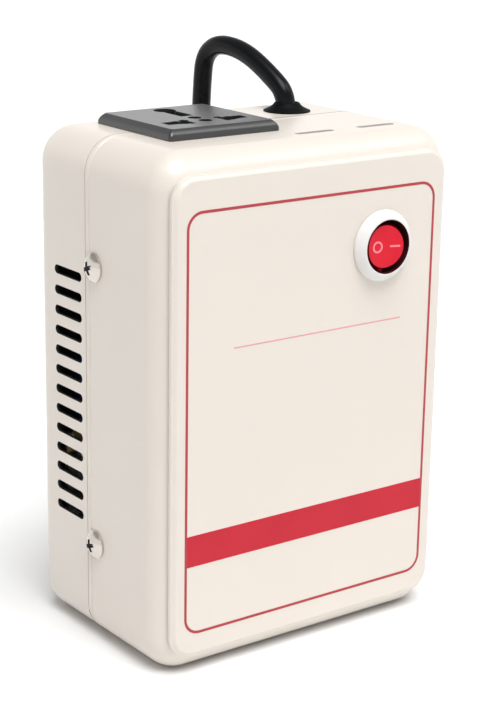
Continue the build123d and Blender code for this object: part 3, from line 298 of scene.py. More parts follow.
class BushSettings(PropertyGroup):
    neck_radius: length("Neck radius", "Radius of the bush in the case's hole", 5.4)
    tail_radius: length("Tail radius", "Radius of the bush's inner end", 4.9)
    flange_radius: length("Flange radius", "Radius of the bush's flange", 7.6)
    flange_edge: length("Flange edge", "Thickness of the flange's rim", 0.3)
    cone_radius: length("Cone radius", "Radius of the bush's mouth", 4.0)
    rise: length("Rise", "Height of the bush", 2.8)
    fit: length("Fit", "Gap between the bush and the cord", 0.05)
    reach: length("Reach", "Length of the bush inside the case", 9)
    neck_length: length("Neck length", "Length of the bush's neck", 1)
    shoulder: lengths("Shoulder", "Width and rise of the slope on the flange", 0.9, 0.35)
    hollow: length("Hollow", "Hollow of the bush's flank", 0.5)
    mouth: lengths("Mouth", "Width and depth of the slope in the mouth", 0.3, 1)
    edge: length("Edge", "Rounding of the bush's edges", 0.15)


class ScrewSettings(PropertyGroup):
    head_radius: length("Head radius", "Radius of the pan heads at the sides", 4.5)
    head_rise: length("Head rise", "Height of the pan heads at the sides", 2.6)
    head_edge: length("Head edge", "Height of a pan head's rim", 0.7)
    shank: lengths("Shank", "Radius and length of the shank", 1.9, 3)
    edge: length("Edge", "Rounding of the screw's edges", 0.12)
    low: length("Low", "Height of the lower screws", 32.4)
    high: length("High", "Height of the upper screws", 120)
    from_seam: length("From seam", "Distance of the screws in front of the seam", 4.7)
    recess: length("Recess", "Width of the cross recess", 1.35)
    recess_span: length("Recess span", "Span of the cross recess", 5.0)
    recess_depth: length("Recess depth", "Depth of the cross recess", 1.4)
    recess_taper: number("Recess taper", "Share of the span that is left at the floor", 0.3)
    spin: in_degrees("Spin", "Turn of the cross recess", 20)
    nickel: colour("Nickel", "Colour of the plating", (0.66, 0.62, 0.57))


class InsideSettings(PropertyGroup):
    nylon: colour("Nylon", "Colour of the plunger and the bobbin", (0.75, 0.73, 0.66))
    brass: colour("Brass", "Colour of the contacts", (0.72, 0.5, 0.2))
    tie: colour("Tie", "Colour of the band round the coil", (0.02, 0.02, 0.022))
    zinc: colour("Zinc", "Colour of the bolts and the bracket", (0.62, 0.63, 0.62))
    steel: colour("Steel", "Middle colour of the core", (0.3, 0.3, 0.31))
    steel_dark: colour("Steel dark", "Dark lines of the core", (0.12, 0.12, 0.13))
    steel_light: colour("Steel light", "Light lines of the core", (0.34, 0.34, 0.35))
    lamination: length("Lamination", "Thickness of a lamination", 0.5)
    copper: colour("Copper", "Middle colour of the windings", (0.6, 0.22, 0.07))
    copper_dark: colour("Copper dark", "Dark lines of the windings", (0.3, 0.09, 0.03))
    copper_light: colour("Copper light", "Light lines of the windings", (0.72, 0.28, 0.1))
    wire: length("Wire", "Pitch of the wound wire", 0.6)
    tape: colour("Tape", "Colour of the winding's wrap", (0.4, 0.29, 0.09))
    sleeve: colour("Sleeve", "Colour of the fuse's sleeve", (0.62, 0.62, 0.6))
    blue: colour("Blue", "Colour of the wires", (0.012, 0.03, 0.13))


class StageSettings(PropertyGroup):
    floor_size: length("Floor size", "Side of the floor", 6000)
    floor: colour("Floor", "Colour of the floor", (0.86, 0.86, 0.86))
    dome: number("Dome", "Strength of the even light", 0.42)
    key: number("Key", "Strength of the key light", 3.0)
    key_angle: in_degrees("Key angle", "Width of the key light in the sky", 40)
    key_side: direction("Key side", "Where the key light is", (-0.2, -0.35, 0.92))
    softbox: number("Softbox", "Power of the softbox", 3.4)
    softbox_size: length("Softbox size", "Side of the softbox", 600)
    softbox_side: direction("Softbox side", "Where the softbox is", (0.57, -0.37, 0.72))
    softbox_away: length("Softbox away", "Distance of the softbox from the outlet", 1500)
    bright: number("Bright", "Height in the sky up to which reflections are white", 0.35)
    dim: number("Dim", "Height in the sky from which reflections are dimmed", 0.5)


class ConverterSettings(PropertyGroup):
    case: group("Case", "Sizes of the case", CaseSettings)
    ink: group("Print", "Sizes of the print", InkSettings)
    switch: group("Switch", "Sizes of the switch", SwitchSettings)
    outlet: group("Outlet", "Sizes of the outlet", OutletSettings)
    cord: group("Cord", "Sizes of the cord", CordSettings)
    bush: group("Bush", "Sizes of the bush", BushSettings)
    screw: group("Screws", "Sizes of the screws", ScrewSettings)
    inside: group("Inside", "Finishes of the inner parts", InsideSettings)
    stage: group("Stage", "Floor and light", StageSettings)


def settings():
    """The sizes and colours that the panel shows."""
    return bpy.context.scene.converter


def set_sockets(node, values):
    """Sets inputs of a shader node by their names."""
    for socket, value in values.items():
        node.inputs[socket].default_value = value


def texture(made, kind, values):
    """New pattern of a finish, laid out on the object's own coordinates."""
    nodes, links = made.node_tree.nodes, made.node_tree.links
    pattern = nodes.new(kind)
    set_sockets(pattern, values)
    links.new(nodes.new("ShaderNodeTexCoord").outputs["Object"], pattern.inputs["Vector"])
    return pattern


def two_tones(made, pattern, dark, light, start=0, end=1):
    """Colours a finish between two tones, as a pattern says."""
    nodes, links = made.node_tree.nodes, made.node_tree.links
    tones = nodes.new("ShaderNodeValToRGB")
    for stop, at, tone in zip(tones.color_ramp.elements, (start, end), (dark, light)):
        stop.position = at
        stop.color = [*tone, 1]
    links.new(pattern.outputs["Fac"], tones.inputs["Fac"])
    links.new(tones.outputs["Color"], nodes["Principled BSDF"].inputs["Base Color"])


def relief(made, pattern, strength, depth):
    """Gives a finish relief, as a pattern says."""
    nodes, links = made.node_tree.nodes, made.node_tree.links
    bump = nodes.new("ShaderNodeBump")
    set_sockets(bump, {"Strength": strength, "Distance": depth})
    links.new(pattern.outputs["Fac"], bump.inputs["Height"])
    links.new(bump.outputs["Normal"], nodes["Principled BSDF"].inputs["Normal"])


def material(name, base, shift=0.04, patch=0.03, rough=0.4, rough_shift=0.05, grain=0.0008,
             bump=0.1, metallic=0.0, coat=0.0, sheen=0.0, shine=0.5):
    """A finish with slow changes of tone and a fine grain in gloss and relief."""
    made = bpy.data.materials.new(name)
    made.use_nodes = True
    nodes, links = made.node_tree.nodes, made.node_tree.links
    surface = nodes["Principled BSDF"]
    set_sockets(surface, {
        "Metallic": metallic, "Coat Weight": coat, "Coat Roughness": 0.25,
        "Sheen Weight": sheen, "Sheen Roughness": 0.3, "Specular IOR Level": shine,
    })
    patches = texture(made, "ShaderNodeTexNoise", {"Scale": 1 / patch, "Detail": 3})
    dark = [part * (1 - shift) for part in base]
    light = [min(1, part * (1 + shift)) for part in base]
    two_tones(made, patches, dark, light, start=0.3, end=0.7)
    grains = texture(made, "ShaderNodeTexNoise", {"Scale": 1 / grain, "Detail": 4})
    gloss = nodes.new("ShaderNodeMapRange")
    set_sockets(gloss, {"To Min": rough - rough_shift, "To Max": rough + rough_shift})
    links.new(grains.outputs["Fac"], gloss.inputs["Value"])
    links.new(gloss.outputs["Result"], surface.inputs["Roughness"])
    relief(made, grains, bump, GRAIN_DEPTH)
    return made


def banded(made, pitch, dark, light):
    """Adds fine level lines, as of laminations or wound wire, to a finish."""
    lines = texture(
        made, "ShaderNodeTexWave", {"Scale": math.tau / WAVE_RATE / pitch, "Distortion": 0.4}
    )
    lines.bands_direction = "Z"
    two_tones(made, lines, dark, light)
    relief(made, lines, strength=0.6, depth=pitch / 4)


def add_finish(name, base, **looks):
    """Makes a finish and keeps it by its name, which is the record's slot where it has one."""
    finishes[name] = material(name, base, **looks)
    return finishes[name]


def mesh_from(name, bm):
    """Turns a bmesh into a mesh and frees it."""
    mesh = bpy.data.meshes.new(name)
    bm.to_mesh(mesh)
    bm.free()
    return mesh


def add_object(name, data):
    """Puts a new object into the scene."""
    made = bpy.data.objects.new(name, data)
    bpy.context.scene.collection.objects.link(made)
    return made


def shade(mesh):
    """Shades a mesh smooth between its sharp edges."""
    mesh.polygons.foreach_set("use_smooth", [True] * len(mesh.polygons))
    mesh.set_sharp_from_angle(angle=SHARP_ANGLE)


def piece_from(name, bm, finish, body=CASE_BODY, nodes=()):
    """Turns a bmesh into a piece that rides on a body and may stand for CAD nodes."""
    mesh = mesh_from(name, bm)
    shade(mesh)
    mesh.materials.append(finish)
    piece = add_object(name, mesh)
    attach(piece, body)
    if nodes:
        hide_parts(*nodes)
    return piece


def soften(piece, width, segments=2, steep=40):
    """Rounds a piece's edges that turn by more than some degrees and keeps its flats flat."""
    bevel = piece.modifiers.new("rounding", "BEVEL")
    bevel.width = width
    bevel.segments = segments
    bevel.limit_method = "ANGLE"
    bevel.angle_limit = math.radians(steep)
    flats = piece.modifiers.new("flats", "WEIGHTED_NORMAL")
    flats.keep_sharp = True


def bake_modifiers(piece):
    """Makes a piece's modifiers part of its mesh."""
    graph = bpy.context.evaluated_depsgraph_get()
    mesh = bpy.data.meshes.new_from_object(piece.evaluated_get(graph))
    piece.modifiers.clear()
    piece.data = mesh


def carve(piece, cutters, operation="DIFFERENCE"):
    """Cuts a piece with, or joins to it, each closed bmesh in turn."""
    for bm in cutters:
        cutter = add_object("cutter", mesh_from("cutter", bm))
        cut = piece.modifiers.new("cut", "BOOLEAN")
        cut.operation = operation
        cut.solver = "EXACT"
        cut.object = cutter
        bake_modifiers(piece)
        bpy.data.objects.remove(cutter)
    shade(piece.data)


def place(bm, matrix):
    """Moves everything in a bmesh."""
    bmesh.ops.transform(bm, matrix=matrix, verts=bm.verts)
    return bm


def block(low, high):
    """Box between two corners."""
    bm = bmesh.new()
    bmesh.ops.create_cube(bm, size=1)
    middle = (Vector(low) + Vector(high)) / 2
    size = Vector(high) - Vector(low)
    return place(bm, Matrix.Translation(middle) @ Matrix.Diagonal((*size, 1)))


def round_edges(bm, edges, radius, segments):
    """Rounds the given edges of a bmesh."""
    bmesh.ops.bevel(
        bm, geom=list(edges), offset=radius, offset_type="OFFSET", segments=segments,
        profile=0.5, affect="EDGES", clamp_overlap=False, material=-1,
    )


def edges_along(bm, axis):
    """Edges that run along an axis, 0 to 2."""
    straight = 0.999
    found = []
    for edge in bm.edges:
        way = edge.verts[1].co - edge.verts[0].co
        if abs(way[axis]) > straight * way.length:
            found.append(edge)
    return found


def edges_at(bm, axis, value):
    """Edges that lie wholly at one place along an axis."""
    near = 1e-6
    return [
        edge for edge in bm.edges if all(abs(v.co[axis] - value) < near for v in edge.verts)
    ]


def rod(radius, start, end):
    """Closed rod between two points."""
    way = Vector(end) - Vector(start)
    bm = bmesh.new()
    bmesh.ops.create_cone(
        bm, cap_ends=True, segments=48, radius1=radius, radius2=radius, depth=way.length
    )
    turn = way.to_track_quat("Z", "Y").to_matrix().to_4x4()
    return place(bm, Matrix.Translation((Vector(start) + Vector(end)) / 2) @ turn)


def drill(radius, at, reach):
    """Round cutter that stands out by a reach on both sides of a point."""
    return rod(radius, Vector(at) - Vector(reach), Vector(at) + Vector(reach))


def turned(profile, steps):
    """Solid of revolution about Z from a closed outline of (radius, height) points."""
    bm = bmesh.new()
    corners = [bm.verts.new((radius, 0, height)) for radius, height in profile]
    edges = [bm.edges.new(pair) for pair in zip(corners, corners[1:])]
    bmesh.ops.spin(
        bm, geom=corners + edges, cent=(0, 0, 0), axis=(0, 0, 1), angle=math.tau,
        steps=steps, use_merge=True,
    )
    bmesh.ops.remove_doubles(bm, verts=bm.verts, dist=1e-7)
    bmesh.ops.recalc_face_normals(bm, faces=bm.faces)
    return bm


def between(start, end, share):
    """Value at a share of the way from a start to an end."""
    return start + (end - start) * share


def shares(steps):
    """Shares of a way walked in equal steps, from 0 to 1."""
    return [step / steps for step in range(steps + 1)]


def arc(centre, radius, start, end, steps):
    """Points of an arc between two angles in degrees, for an outline."""
    angles = [math.radians(between(start, end, share)) for share in shares(steps)]
    return [
        (centre[0] + radius * math.cos(angle), centre[1] + radius * math.sin(angle))
        for angle in angles
    ]


def hump(height, share):
    """Height of a low arch at a share of its span."""
    return 4 * height * share * (1 - share)


def half_case(inset, near, far):
    """Closed half of the case: open rim at near, rounded face at far, drawn in by an inset."""
    case = settings().case
    low, high = case_box
    bm = block(
        (low.x + inset, min(near, far), low.z + inset),
        (high.x - inset, max(near, far), high.z - inset),
    )
    corner_steps, face_steps = 14, 12
    round_edges(bm, edges_along(bm, 1), case.corner_radius - inset, corner_steps)
    round_edges(bm, edges_at(bm, 1, far), case.face_radius - inset, face_steps)
    return bm


def press_hem(bm, rim, towards):
    """Presses the shallow line into the sheet beside the seam."""
    case = settings().case
    middle = rim + towards * case.hem_place
    for share in shares(6):
        at = middle + case.hem_width * (share - 0.5)
        geometry = bm.verts[:] + bm.edges[:] + bm.faces[:]
        bmesh.ops.bisect_plane(bm, geom=geometry, plane_co=(0, at, 0), plane_no=(0, 1, 0))
    bm.normal_update()
    within = 0.99
    for vertex in bm.verts:
        away = (vertex.co.y - middle) / (case.hem_width / 2)
        if abs(away) < within:
            sink = case.hem_depth * (1 + math.cos(math.pi * away)) / 2
            side = Vector((vertex.normal.x, 0, vertex.normal.z)).normalized()
            vertex.co -= side * sink


def obround(middle, along, across, long, wide, through):
    """Closed cutter for a round-ended slot: long along one axis, wide across it."""
    size = Vector((through, through, through))
    size[along] = long
    size[across] = wide
    bm = block(-size / 2, size / 2)
    nearly_half = 0.499
    drilled = 3 - along - across
    round_edges(bm, edges_along(bm, drilled), nearly_half * wide, segments=8)
    return place(bm, Matrix.Translation(middle))


def joined(parts):
    """One bmesh that holds several closed ones that don't meet."""
    bm = bmesh.new()
    for part in parts:
        mesh = mesh_from("part", part)
        bm.from_mesh(mesh)
        bpy.data.meshes.remove(mesh)
    return bm


def facing(origin, x_axis, z_axis):
    """Matrix that stands a piece drawn along +Z on a point, facing along z_axis."""
    across, up = Vector(x_axis).normalized(), Vector(z_axis).normalized()
    turn = Matrix((across, up.cross(across), up)).transposed().to_4x4()
    return Matrix.Translation(origin) @ turn


def rounded_loop(width, height, corner):
    """Points round a rounded rectangle in its own plane."""
    points = []
    for quarter, (side, end) in enumerate(((1, 1), (-1, 1), (-1, -1), (1, -1))):
        centre = (side * (width / 2 - corner), end * (height / 2 - corner))
        points += arc(centre, corner, 90 * quarter, 90 * quarter + 90, steps=8)
    return points


def wired(bm, points):
    """Closed loop of edges through points."""
    verts = [bm.verts.new(point) for point in points]
    return [bm.edges.new(pair) for pair in zip(verts, verts[1:] + verts[:1])]


def lofted(rings):
    """Solid through loops of points."""
    bm = bmesh.new()
    loops = [wired(bm, ring) for ring in rings]
    for first, second in zip(loops, loops[1:]):
        bmesh.ops.bridge_loops(bm, edges=first + second)
    bmesh.ops.edgeloop_fill(bm, edges=loops[0])
    bmesh.ops.edgeloop_fill(bm, edges=loops[-1])
    bmesh.ops.recalc_face_normals(bm, faces=bm.faces)
    return bm


def banded_loop(points, width, thickness):
    """Flat band of a width inside a flat loop of points, thickened along a vector."""
    bm = bmesh.new()
    middle = bmesh.ops.edgeloop_fill(bm, edges=wired(bm, points))["faces"]
    bmesh.ops.inset_region(
        bm, faces=middle, thickness=width, use_even_offset=True, use_boundary=True
    )
    bmesh.ops.delete(bm, geom=middle, context="FACES_ONLY")
    grown = bmesh.ops.extrude_face_region(bm, geom=bm.faces[:])["geom"]
    corners = [part for part in grown if isinstance(part, bmesh.types.BMVert)]
    bmesh.ops.translate(bm, vec=thickness, verts=corners)
    bmesh.ops.recalc_face_normals(bm, faces=bm.faces)
    return bm


def case_centre():
    """Middle of the case's front, in width and height."""
    low, high = case_box
    return (low.x + high.x) / 2, (low.z + high.z) / 2


def front_loop(width, height, corner, y, middle=None):
    """Rounded rectangle that stands parallel to the front."""
    x, z = case_centre()
    z = z if middle is None else middle
    return [(x + across, y, z + up) for across, up in rounded_loop(width, height, corner)]


def top_loop(width, corner, x, y, z):
    """Rounded square that lies level."""
    return [(x + across, y + up, z) for across, up in rounded_loop(width, width, corner)]


def sheet_loop(inset, y):
    """Outline of the case at a place front to back, drawn in by an inset."""
    low, high = case_box
    return front_loop(
        high.x - low.x - 2 * inset, high.z - low.z - 2 * inset,
        settings().case.corner_radius - inset, y,
    )


def outlet_hole():
    """Cutter for the square hole under the outlet's faceplate."""
    half = settings().outlet.hole / 2
    reach = Vector((half, half, CUT_REACH))
    return block(plate_middle - reach, plate_middle + reach)


def repaint(piece, finish, chosen):
    """Gives the chosen faces of a piece a second finish."""
    piece.data.materials.append(finish)
    for face in piece.data.polygons:
        if chosen(face.center, face.normal):
            face.material_index = len(piece.data.materials) - 1


def paint_inside(shell, lip_end):
    """Gives the faces that look into the case their near black inner coat, and the vents' walls
    and the lip behind the seam the same near black as painted shade.
    """
    sheet = settings().case.sheet
    skin = 0.7 * sheet
    low, high = case_box
    middle = (low + high) / 2
    steep = 0.5
    inwards = 0.1

    # Inside faces get the inner coat; the vents' walls and the lip get the same near black as
    # painted shade.
    def dark(at, normal):
        way = middle - at
        deep = all(low[axis] + skin < at[axis] < high[axis] - skin for axis in range(3))
        cut = abs(at.x - middle.x) > high.x - middle.x - sheet and abs(normal.x) < steep
        rim = abs(at.y - seam) < sheet and abs(normal.y) > steep
        inside = deep and normal.dot(way) > inwards * way.length
        return inside or cut and not rim or at.y < lip_end

    repaint(shell, finishes["primer_and_shade"], dark)


def panel_rings(face):
    """Loops of the raised panel, from inside the sheet over its slope to its flat."""
    case = settings().case
    buried = 0.01 * MM
    foot = 2 * case.panel_edge
    levels = [(foot, face + case.sheet), (foot, face + buried)]
    for share in shares(8)[1:]:
        rise = case.panel_raise * (1 - math.cos(math.pi * share)) / 2
        levels.append((foot * (1 - share), face - rise))
    return [
        front_loop(
            case.panel_width + spread, case.panel_height + spread,
            case.panel_corner + spread / 2, y,
        )
        for spread, y in levels
    ]


def build_front():
    """Front half shell with its raised panel, holes and hem line."""
    case = settings().case
    low, high = case_box
    face = low.y + case.panel_raise
    bm = half_case(0, seam, face)
    press_hem(bm, seam, -1)
    shell = piece_from(
        "case_front", bm, finishes["case_enamel"], nodes=("front_shell",)
    )
    carve(shell, [lofted(panel_rings(face))], "UNION")
    outer = high.x - case.top_vent_side
    vents = [
        obround(Vector((side, low.y + case.top_vent_place, high.z)), along=0, across=1,
                long=case.top_vent_length, wide=case.vent_width, through=2 * CUT_REACH)
        for side in (outer - case.top_vent_spacing, outer)
    ]
    bore = settings().switch.barrel_radius + case.hole_gap
    carve(shell, [
        half_case(case.sheet, seam + 4 * case.sheet, face + case.sheet),
        drill(bore, switch_middle, (0, CUT_REACH, 0)),
        outlet_hole(),
        joined(vents),
    ])
    paint_inside(shell, low.y - case.sheet)
    soften(shell, case.sheet_edge)


def build_rear():
    """Rear half shell with its vents, its bush hole and the lip inside the seam."""
    case = settings().case
    low, high = case_box
    rim = seam + case.seam_gap
    shell = piece_from(
        "case_rear", half_case(0, rim, high.y), finishes["case_enamel"],
        nodes=("rear_shell",),
    )
    carve(shell, [half_case(case.sheet, rim - 4 * case.sheet, high.y - case.sheet)])
    step = banded_loop(
        sheet_loop(case.sheet / 2, rim + case.sheet), 1.5 * case.sheet, (0, case.sheet, 0)
    )
    lip = banded_loop(
        sheet_loop(case.sheet + case.lip_gap, low_rear.y), case.sheet,
        (0, rim + 2 * case.sheet - low_rear.y, 0),
    )
    carve(shell, [step, lip], "UNION")
    lowest = case.vent_height - case.vent_pitch * (case.vent_count - 1) / 2
    vents = [
        obround(Vector((0, seam + case.vent_place, lowest + case.vent_pitch * index)),
                along=1, across=2, long=case.vent_length, wide=case.vent_width,
                through=2 * (high.x - low.x))
        for index in range(case.vent_count)
    ]
    neck = settings().bush.neck_radius + case.hole_gap
    bolts = [
        drill(case.bolt_hole, (x, high.y, z), (0, CUT_REACH, 0)) for x, z in bolt_places
    ]
    carve(shell, [
        joined(vents),
        outlet_hole(),
        drill(neck, bush_middle, (0, 0, CUT_REACH)),
        joined(bolts),
    ])
    paint_inside(shell, seam)
    soften(shell, case.sheet_edge)


def build_print():
    """Printed frame, band and rule on the panel, as thin films of ink."""
    ink = settings().ink
    front = case_box[0].y
    x = case_centre()[0]
    outline = front_loop(
        ink.frame_width, ink.frame_height, ink.frame_corner, front + ink.film, ink.frame_middle
    )
    piece_from(
        "printed_frame", banded_loop(outline, ink.line, (0, -2 * ink.film, 0)),
        finishes["line_ink"],
    )
    half = ink.frame_width / 2 - ink.line / 2
    thin = ink.film * 0.8
    piece_from(
        "printed_band",
        block((x - half, front - thin, ink.band_low), (x + half, front + thin, ink.band_high)),
        finishes["band_ink"],
    )
    piece_from(
        "printed_rule",
        block(
            (ink.rule_left, front - thin, ink.rule_height - ink.rule_width / 2),
            (ink.rule_right, front + thin, ink.rule_height + ink.rule_width / 2),
        ),
        finishes["rule_ink"],
    )


def build_housing():
    """Round bezel, well and barrel of the switch."""
    switch = settings().switch
    lip = switch.bezel_lip
    inner = switch.well_radius + lip
    depth = high_housing.y - switch_middle.y
    profile = [
        (0, -depth), (switch.barrel_radius, -depth), (switch.barrel_radius, 0),
        (switch.bezel_radius, 0), (switch.bezel_radius, switch.bezel_edge),
    ]
    for share in shares(12)[1:]:
        out = between(switch.bezel_radius, inner, share)
        rise = between(switch.bezel_edge, switch.bezel_rise, share)
        profile.append((out, rise + hump(switch.bezel_bulge, share)))
    profile += arc((inner, switch.bezel_rise - lip), lip, 90, 180, steps=5)[1:]
    profile += [(switch.well_radius, -switch.well_floor), (0, -switch.well_floor)]
    bm = turned(profile, steps=128)
    place(bm, facing(switch_middle, RIGHTWARDS, FORWARDS))
    piece = piece_from(
        "switch_bezel", bm, finishes["switch_white"],
        nodes=("switch_housing",),
    )
    soften(piece, switch.housing_edge, segments=3)

    # The well's wall and floor get painted shade with a painted red reflection.
    def in_well(at, _normal):
        away = math.hypot(at.x - switch_middle.x, at.z - switch_middle.z)
        behind_rim = at.y > switch_middle.y - switch.bezel_rise
        return away < switch.well_radius + lip / 3 and behind_rim

    repaint(piece, finishes["well_painted_shade"], in_well)


def rocker_matrix():
    """Frame of the rocker at rest, its X along the rocker and its Y to the back."""
    switch = settings().switch
    pivot = switch_middle + Vector((0, switch.pivot_depth, 0))
    return Matrix.Translation(pivot) @ Matrix.Rotation(switch.tilt, 4, "Z")


def rocker_radius():
    """Radius of the ball that the rocker is cut from."""
    switch = settings().switch
    return switch.well_radius - switch.rocker_gap


def rocker_hollow(across):
    """Distance from the pivot out to the rocker's hollow front, at a place across it."""
    switch = settings().switch
    slope = math.tan(abs(switch.tilt))
    return switch.rocker_valley + across * across * slope / rocker_radius()


def build_rocker():
    """Red rocker: a ball with a hollow front, flat back and trunnions."""
    switch = settings().switch
    radius = rocker_radius()
    ball = bmesh.new()
    bmesh.ops.create_uvsphere(ball, u_segments=128, v_segments=64, radius=radius)
    place(ball, rocker_matrix())
    piece = piece_from(
        "rocker_cap", ball, finishes["switch_red"], ROCKER_BODY,
        ("switch_rocker",),
    )
    reach = 1.3 * radius
    across = [reach * (2 * share - 1) for share in shares(48)]
    outline = [(x, -rocker_hollow(x)) for x in across]
    outline += [(reach, switch.rocker_back), (-reach, switch.rocker_back)]
    blank = lofted([[(x, y, side * reach) for x, y in outline] for side in (-1, 1)])
    place(blank, rocker_matrix())
    carve(piece, [blank], "INTERSECT")
    pivot = rocker_matrix().translation
    skin = 0.995 * radius

    # Faces on the ball's side and back get the darker red as painted shade.
    def on_ball(at, _normal):
        return (at - pivot).length > skin or at.y > pivot.y

    repaint(piece, finishes["rocker_side"], on_ball)
    soften(piece, switch.rocker_edge, segments=4, steep=30)
    sunk = 0.2 * MM
    pin = rod(
        switch.trunnion_radius, (0, 0, -switch.trunnion_reach), (0, 0, switch.trunnion_reach)
    )
    boss = rod(
        switch.boss_radius, (0, switch.rocker_back - sunk, 0),
        (0, switch.rocker_back + switch.boss_length, 0),
    )
    hidden = place(joined([pin, boss]), rocker_matrix())
    piece_from(
        "rocker_trunnions", hidden, finishes["switch_red"], ROCKER_BODY,
        ("switch_rocker",),
    )


def build_marks():
    """Round and straight marks of the rocker, as thin raised ink."""
    switch = settings().switch
    film = settings().ink.film
    circle = arc((0, 0), switch.mark_radius, 0, 360, steps=64)[:-1]
    ring = banded_loop([(x, y, -film) for x, y in circle], switch.mark_width, (0, 0, 2 * film))
    half, thick = switch.bar_length / 2, switch.mark_width / 2
    bar = block((-half, -thick, -film), (half, thick, film))
    bmesh.ops.subdivide_edges(bar, edges=edges_along(bar, 0), cuts=11, use_grid_fill=True)
    for name, mark, across in (
        ("mark_round", ring, -switch.ring_place), ("mark_straight", bar, switch.bar_place),
    ):
        place(mark, facing((across, 0, 0), RIGHTWARDS, FORWARDS))
        for vertex in mark.verts:
            vertex.co.y -= rocker_hollow(vertex.co.x)
        place(mark, rocker_matrix())
        piece_from(name, mark, finishes["mark_ink"], ROCKER_BODY)


def outlet_holes():
    """Cutters for the outlet's pin ways."""
    outlet = settings().outlet
    row = outlet.pin_row
    reach = 20 * MM

    def round_hole(x, y, radius):
        return drill(radius, (x, y, 0), (0, 0, reach))

    def slot(x, y, width, depth, turn=0.0):
        cut = block((-width / 2, -depth / 2, -reach), (width / 2, depth / 2, reach))
        return place(cut, Matrix.Translation((x, y, 0)) @ Matrix.Rotation(turn, 4, "Z"))

    round_place, round_radius = outlet.round_hole
    wide_place, *wide = outlet.wide_slot
    blade_place, *blade = outlet.blade_slot
    slant_place, *slant = outlet.slant_slot
    cutters = []
    for side in (-1, 1):
        cutters += [
            round_hole(side * round_place, row, round_radius),
            slot(side * wide_place, row, *wide),
            slot(side * blade_place, row, *blade),
            slot(side * slant_place, row, *slant, side * outlet.slant),
        ]
    earth_place, earth_radius = outlet.earth_hole
    earth_slot_place, *earth_slot = outlet.earth_slot
    middle_place, row_place, small_radius = outlet.small_holes
    cutters += [
        round_hole(0, earth_place, earth_radius),
        slot(0, earth_slot_place, *earth_slot),
        round_hole(0, middle_place, small_radius),
        round_hole(0, row_place, small_radius),
    ]
    return [place(cut, Matrix.Translation(plate_middle)) for cut in cutters]


def build_outlet():
    """Bevelled black faceplate with its pin ways and the skirt under it."""
    outlet = settings().outlet
    x, y, z = plate_middle
    rings = [
        top_loop(outlet.skirt, outlet.corner, x, y, low_plate.z),
        top_loop(outlet.skirt, outlet.corner, x, y, z),
        top_loop(outlet.plate, outlet.corner, x, y, z),
    ]
    for share in shares(6):
        side = between(outlet.plate, outlet.plate_top, share)
        corner = between(outlet.corner, outlet.corner_top, share)
        rise = between(outlet.plate_edge, outlet.plate_rise, share)
        bulge = hump(outlet.plate_bulge, share)
        rings.append(top_loop(side + 2 * bulge, corner, x, y, z + rise))
    piece = piece_from(
        "outlet_plate", lofted(rings), finishes["socket_black"],
        nodes=("socket_faceplate",),
    )
    carve(piece, outlet_holes())
    soften(piece, outlet.soft_edge, segments=3, steep=30)


def build_bush():
    """Low conical bush that the cord leaves through."""
    bush = settings().bush
    bore = settings().cord.radius + bush.fit
    shoulder_width, shoulder_rise = bush.shoulder
    mouth_width, mouth_depth = bush.mouth
    foot = (bush.flange_radius - shoulder_width, bush.flange_edge + shoulder_rise)
    profile = [
        (bore, -bush.reach), (bush.tail_radius, -bush.reach),
        (bush.neck_radius, -bush.neck_length), (bush.neck_radius, 0),
        (bush.flange_radius, 0), (bush.flange_radius, bush.flange_edge), foot,
    ]
    for share in shares(8)[1:]:
        hollow = bush.hollow * math.sin(math.pi * share)
        out = between(foot[0], bush.cone_radius, share)
        profile.append((out - hollow, between(foot[1], bush.rise, share)))
    profile += [
        (bore + mouth_width, bush.rise), (bore, bush.rise - mouth_depth), (bore, -bush.reach)
    ]
    bm = turned(profile, steps=96)
    place(bm, Matrix.Translation(bush_middle))
    piece = piece_from(
        "bush", bm, finishes["bush_black"], nodes=("cable_bush",)
    )
    soften(piece, bush.edge, segments=3, steep=30)


def coil_points():
    """Control points of the put-away coil's middle line, which runs a little inside them."""
    cord = settings().cord
    entry, heading = CORD_ROUTE[-1] * MM, (CORD_ROUTE[-1] - CORD_ROUTE[-2]).normalized()
    inwards = Vector((heading.y, -heading.x, 0))
    outer = cord.coil_inner + cord.turns_in * cord.coil_pitch
    start = entry + heading * (2 * cord.radius)
    centre = start + inwards * outer
    first = math.atan2(-inwards.y, -inwards.x)
    # Steps are half turns: in on the lower layer, half a turn up, and out on the upper one
    middle = 2 * cord.turns_in + 0.5
    last = 2 * cord.turns_in + 1 + 2 * cord.turns_out
    per_half = 12
    # A quadratic curve with its control points on a circle runs at this share of its radius
    sag = (3 + math.cos(math.pi / per_half)) / 4
    points = [start - heading * (cord.radius / 2)]
    for index in range(last * per_half + 1):
        step = index / per_half
        radius = outer - (middle - abs(step - middle)) * cord.coil_pitch / 2
        angle = first - step * math.pi
        climb = min(max(step - middle + 0.5, 0), 1)
        climb = climb * climb * (3 - 2 * climb)
        points.append(
            centre
            + Vector((math.cos(angle), math.sin(angle), 0)) * (radius / sag)
            + Vector((0, 0, climb * cord.coil_pitch))
        )
    return points


def build_cord():
    """Supply cord: out of the bush, over in an arch, down to the floor and into a coil."""
    cord = settings().cord
    points = [point * MM for point in CORD_ROUTE] + coil_points()[:-1]
    points += [PLUG_TAIL - PLUG_HEADING * (2 * cord.radius), PLUG_TAIL]
    curve = bpy.data.curves.new("supply_cord", "CURVE")
    curve.dimensions = "3D"
    curve.bevel_depth = cord.radius
    curve.bevel_resolution = 7
    curve.resolution_u = 8
    curve.use_fill_caps = True
    spline = curve.splines.new("NURBS")
    spline.points.add(len(points) - 1)
    for point, at in zip(spline.points, points):
        point.co = (*at, 1)
    spline.order_u = 3
    spline.use_endpoint_u = True
    curve.materials.append(finishes["cord_black"])
    piece = add_object("supply_cord", curve)
    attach(piece, CASE_BODY)
    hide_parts("cord_lead", "cord_coil")


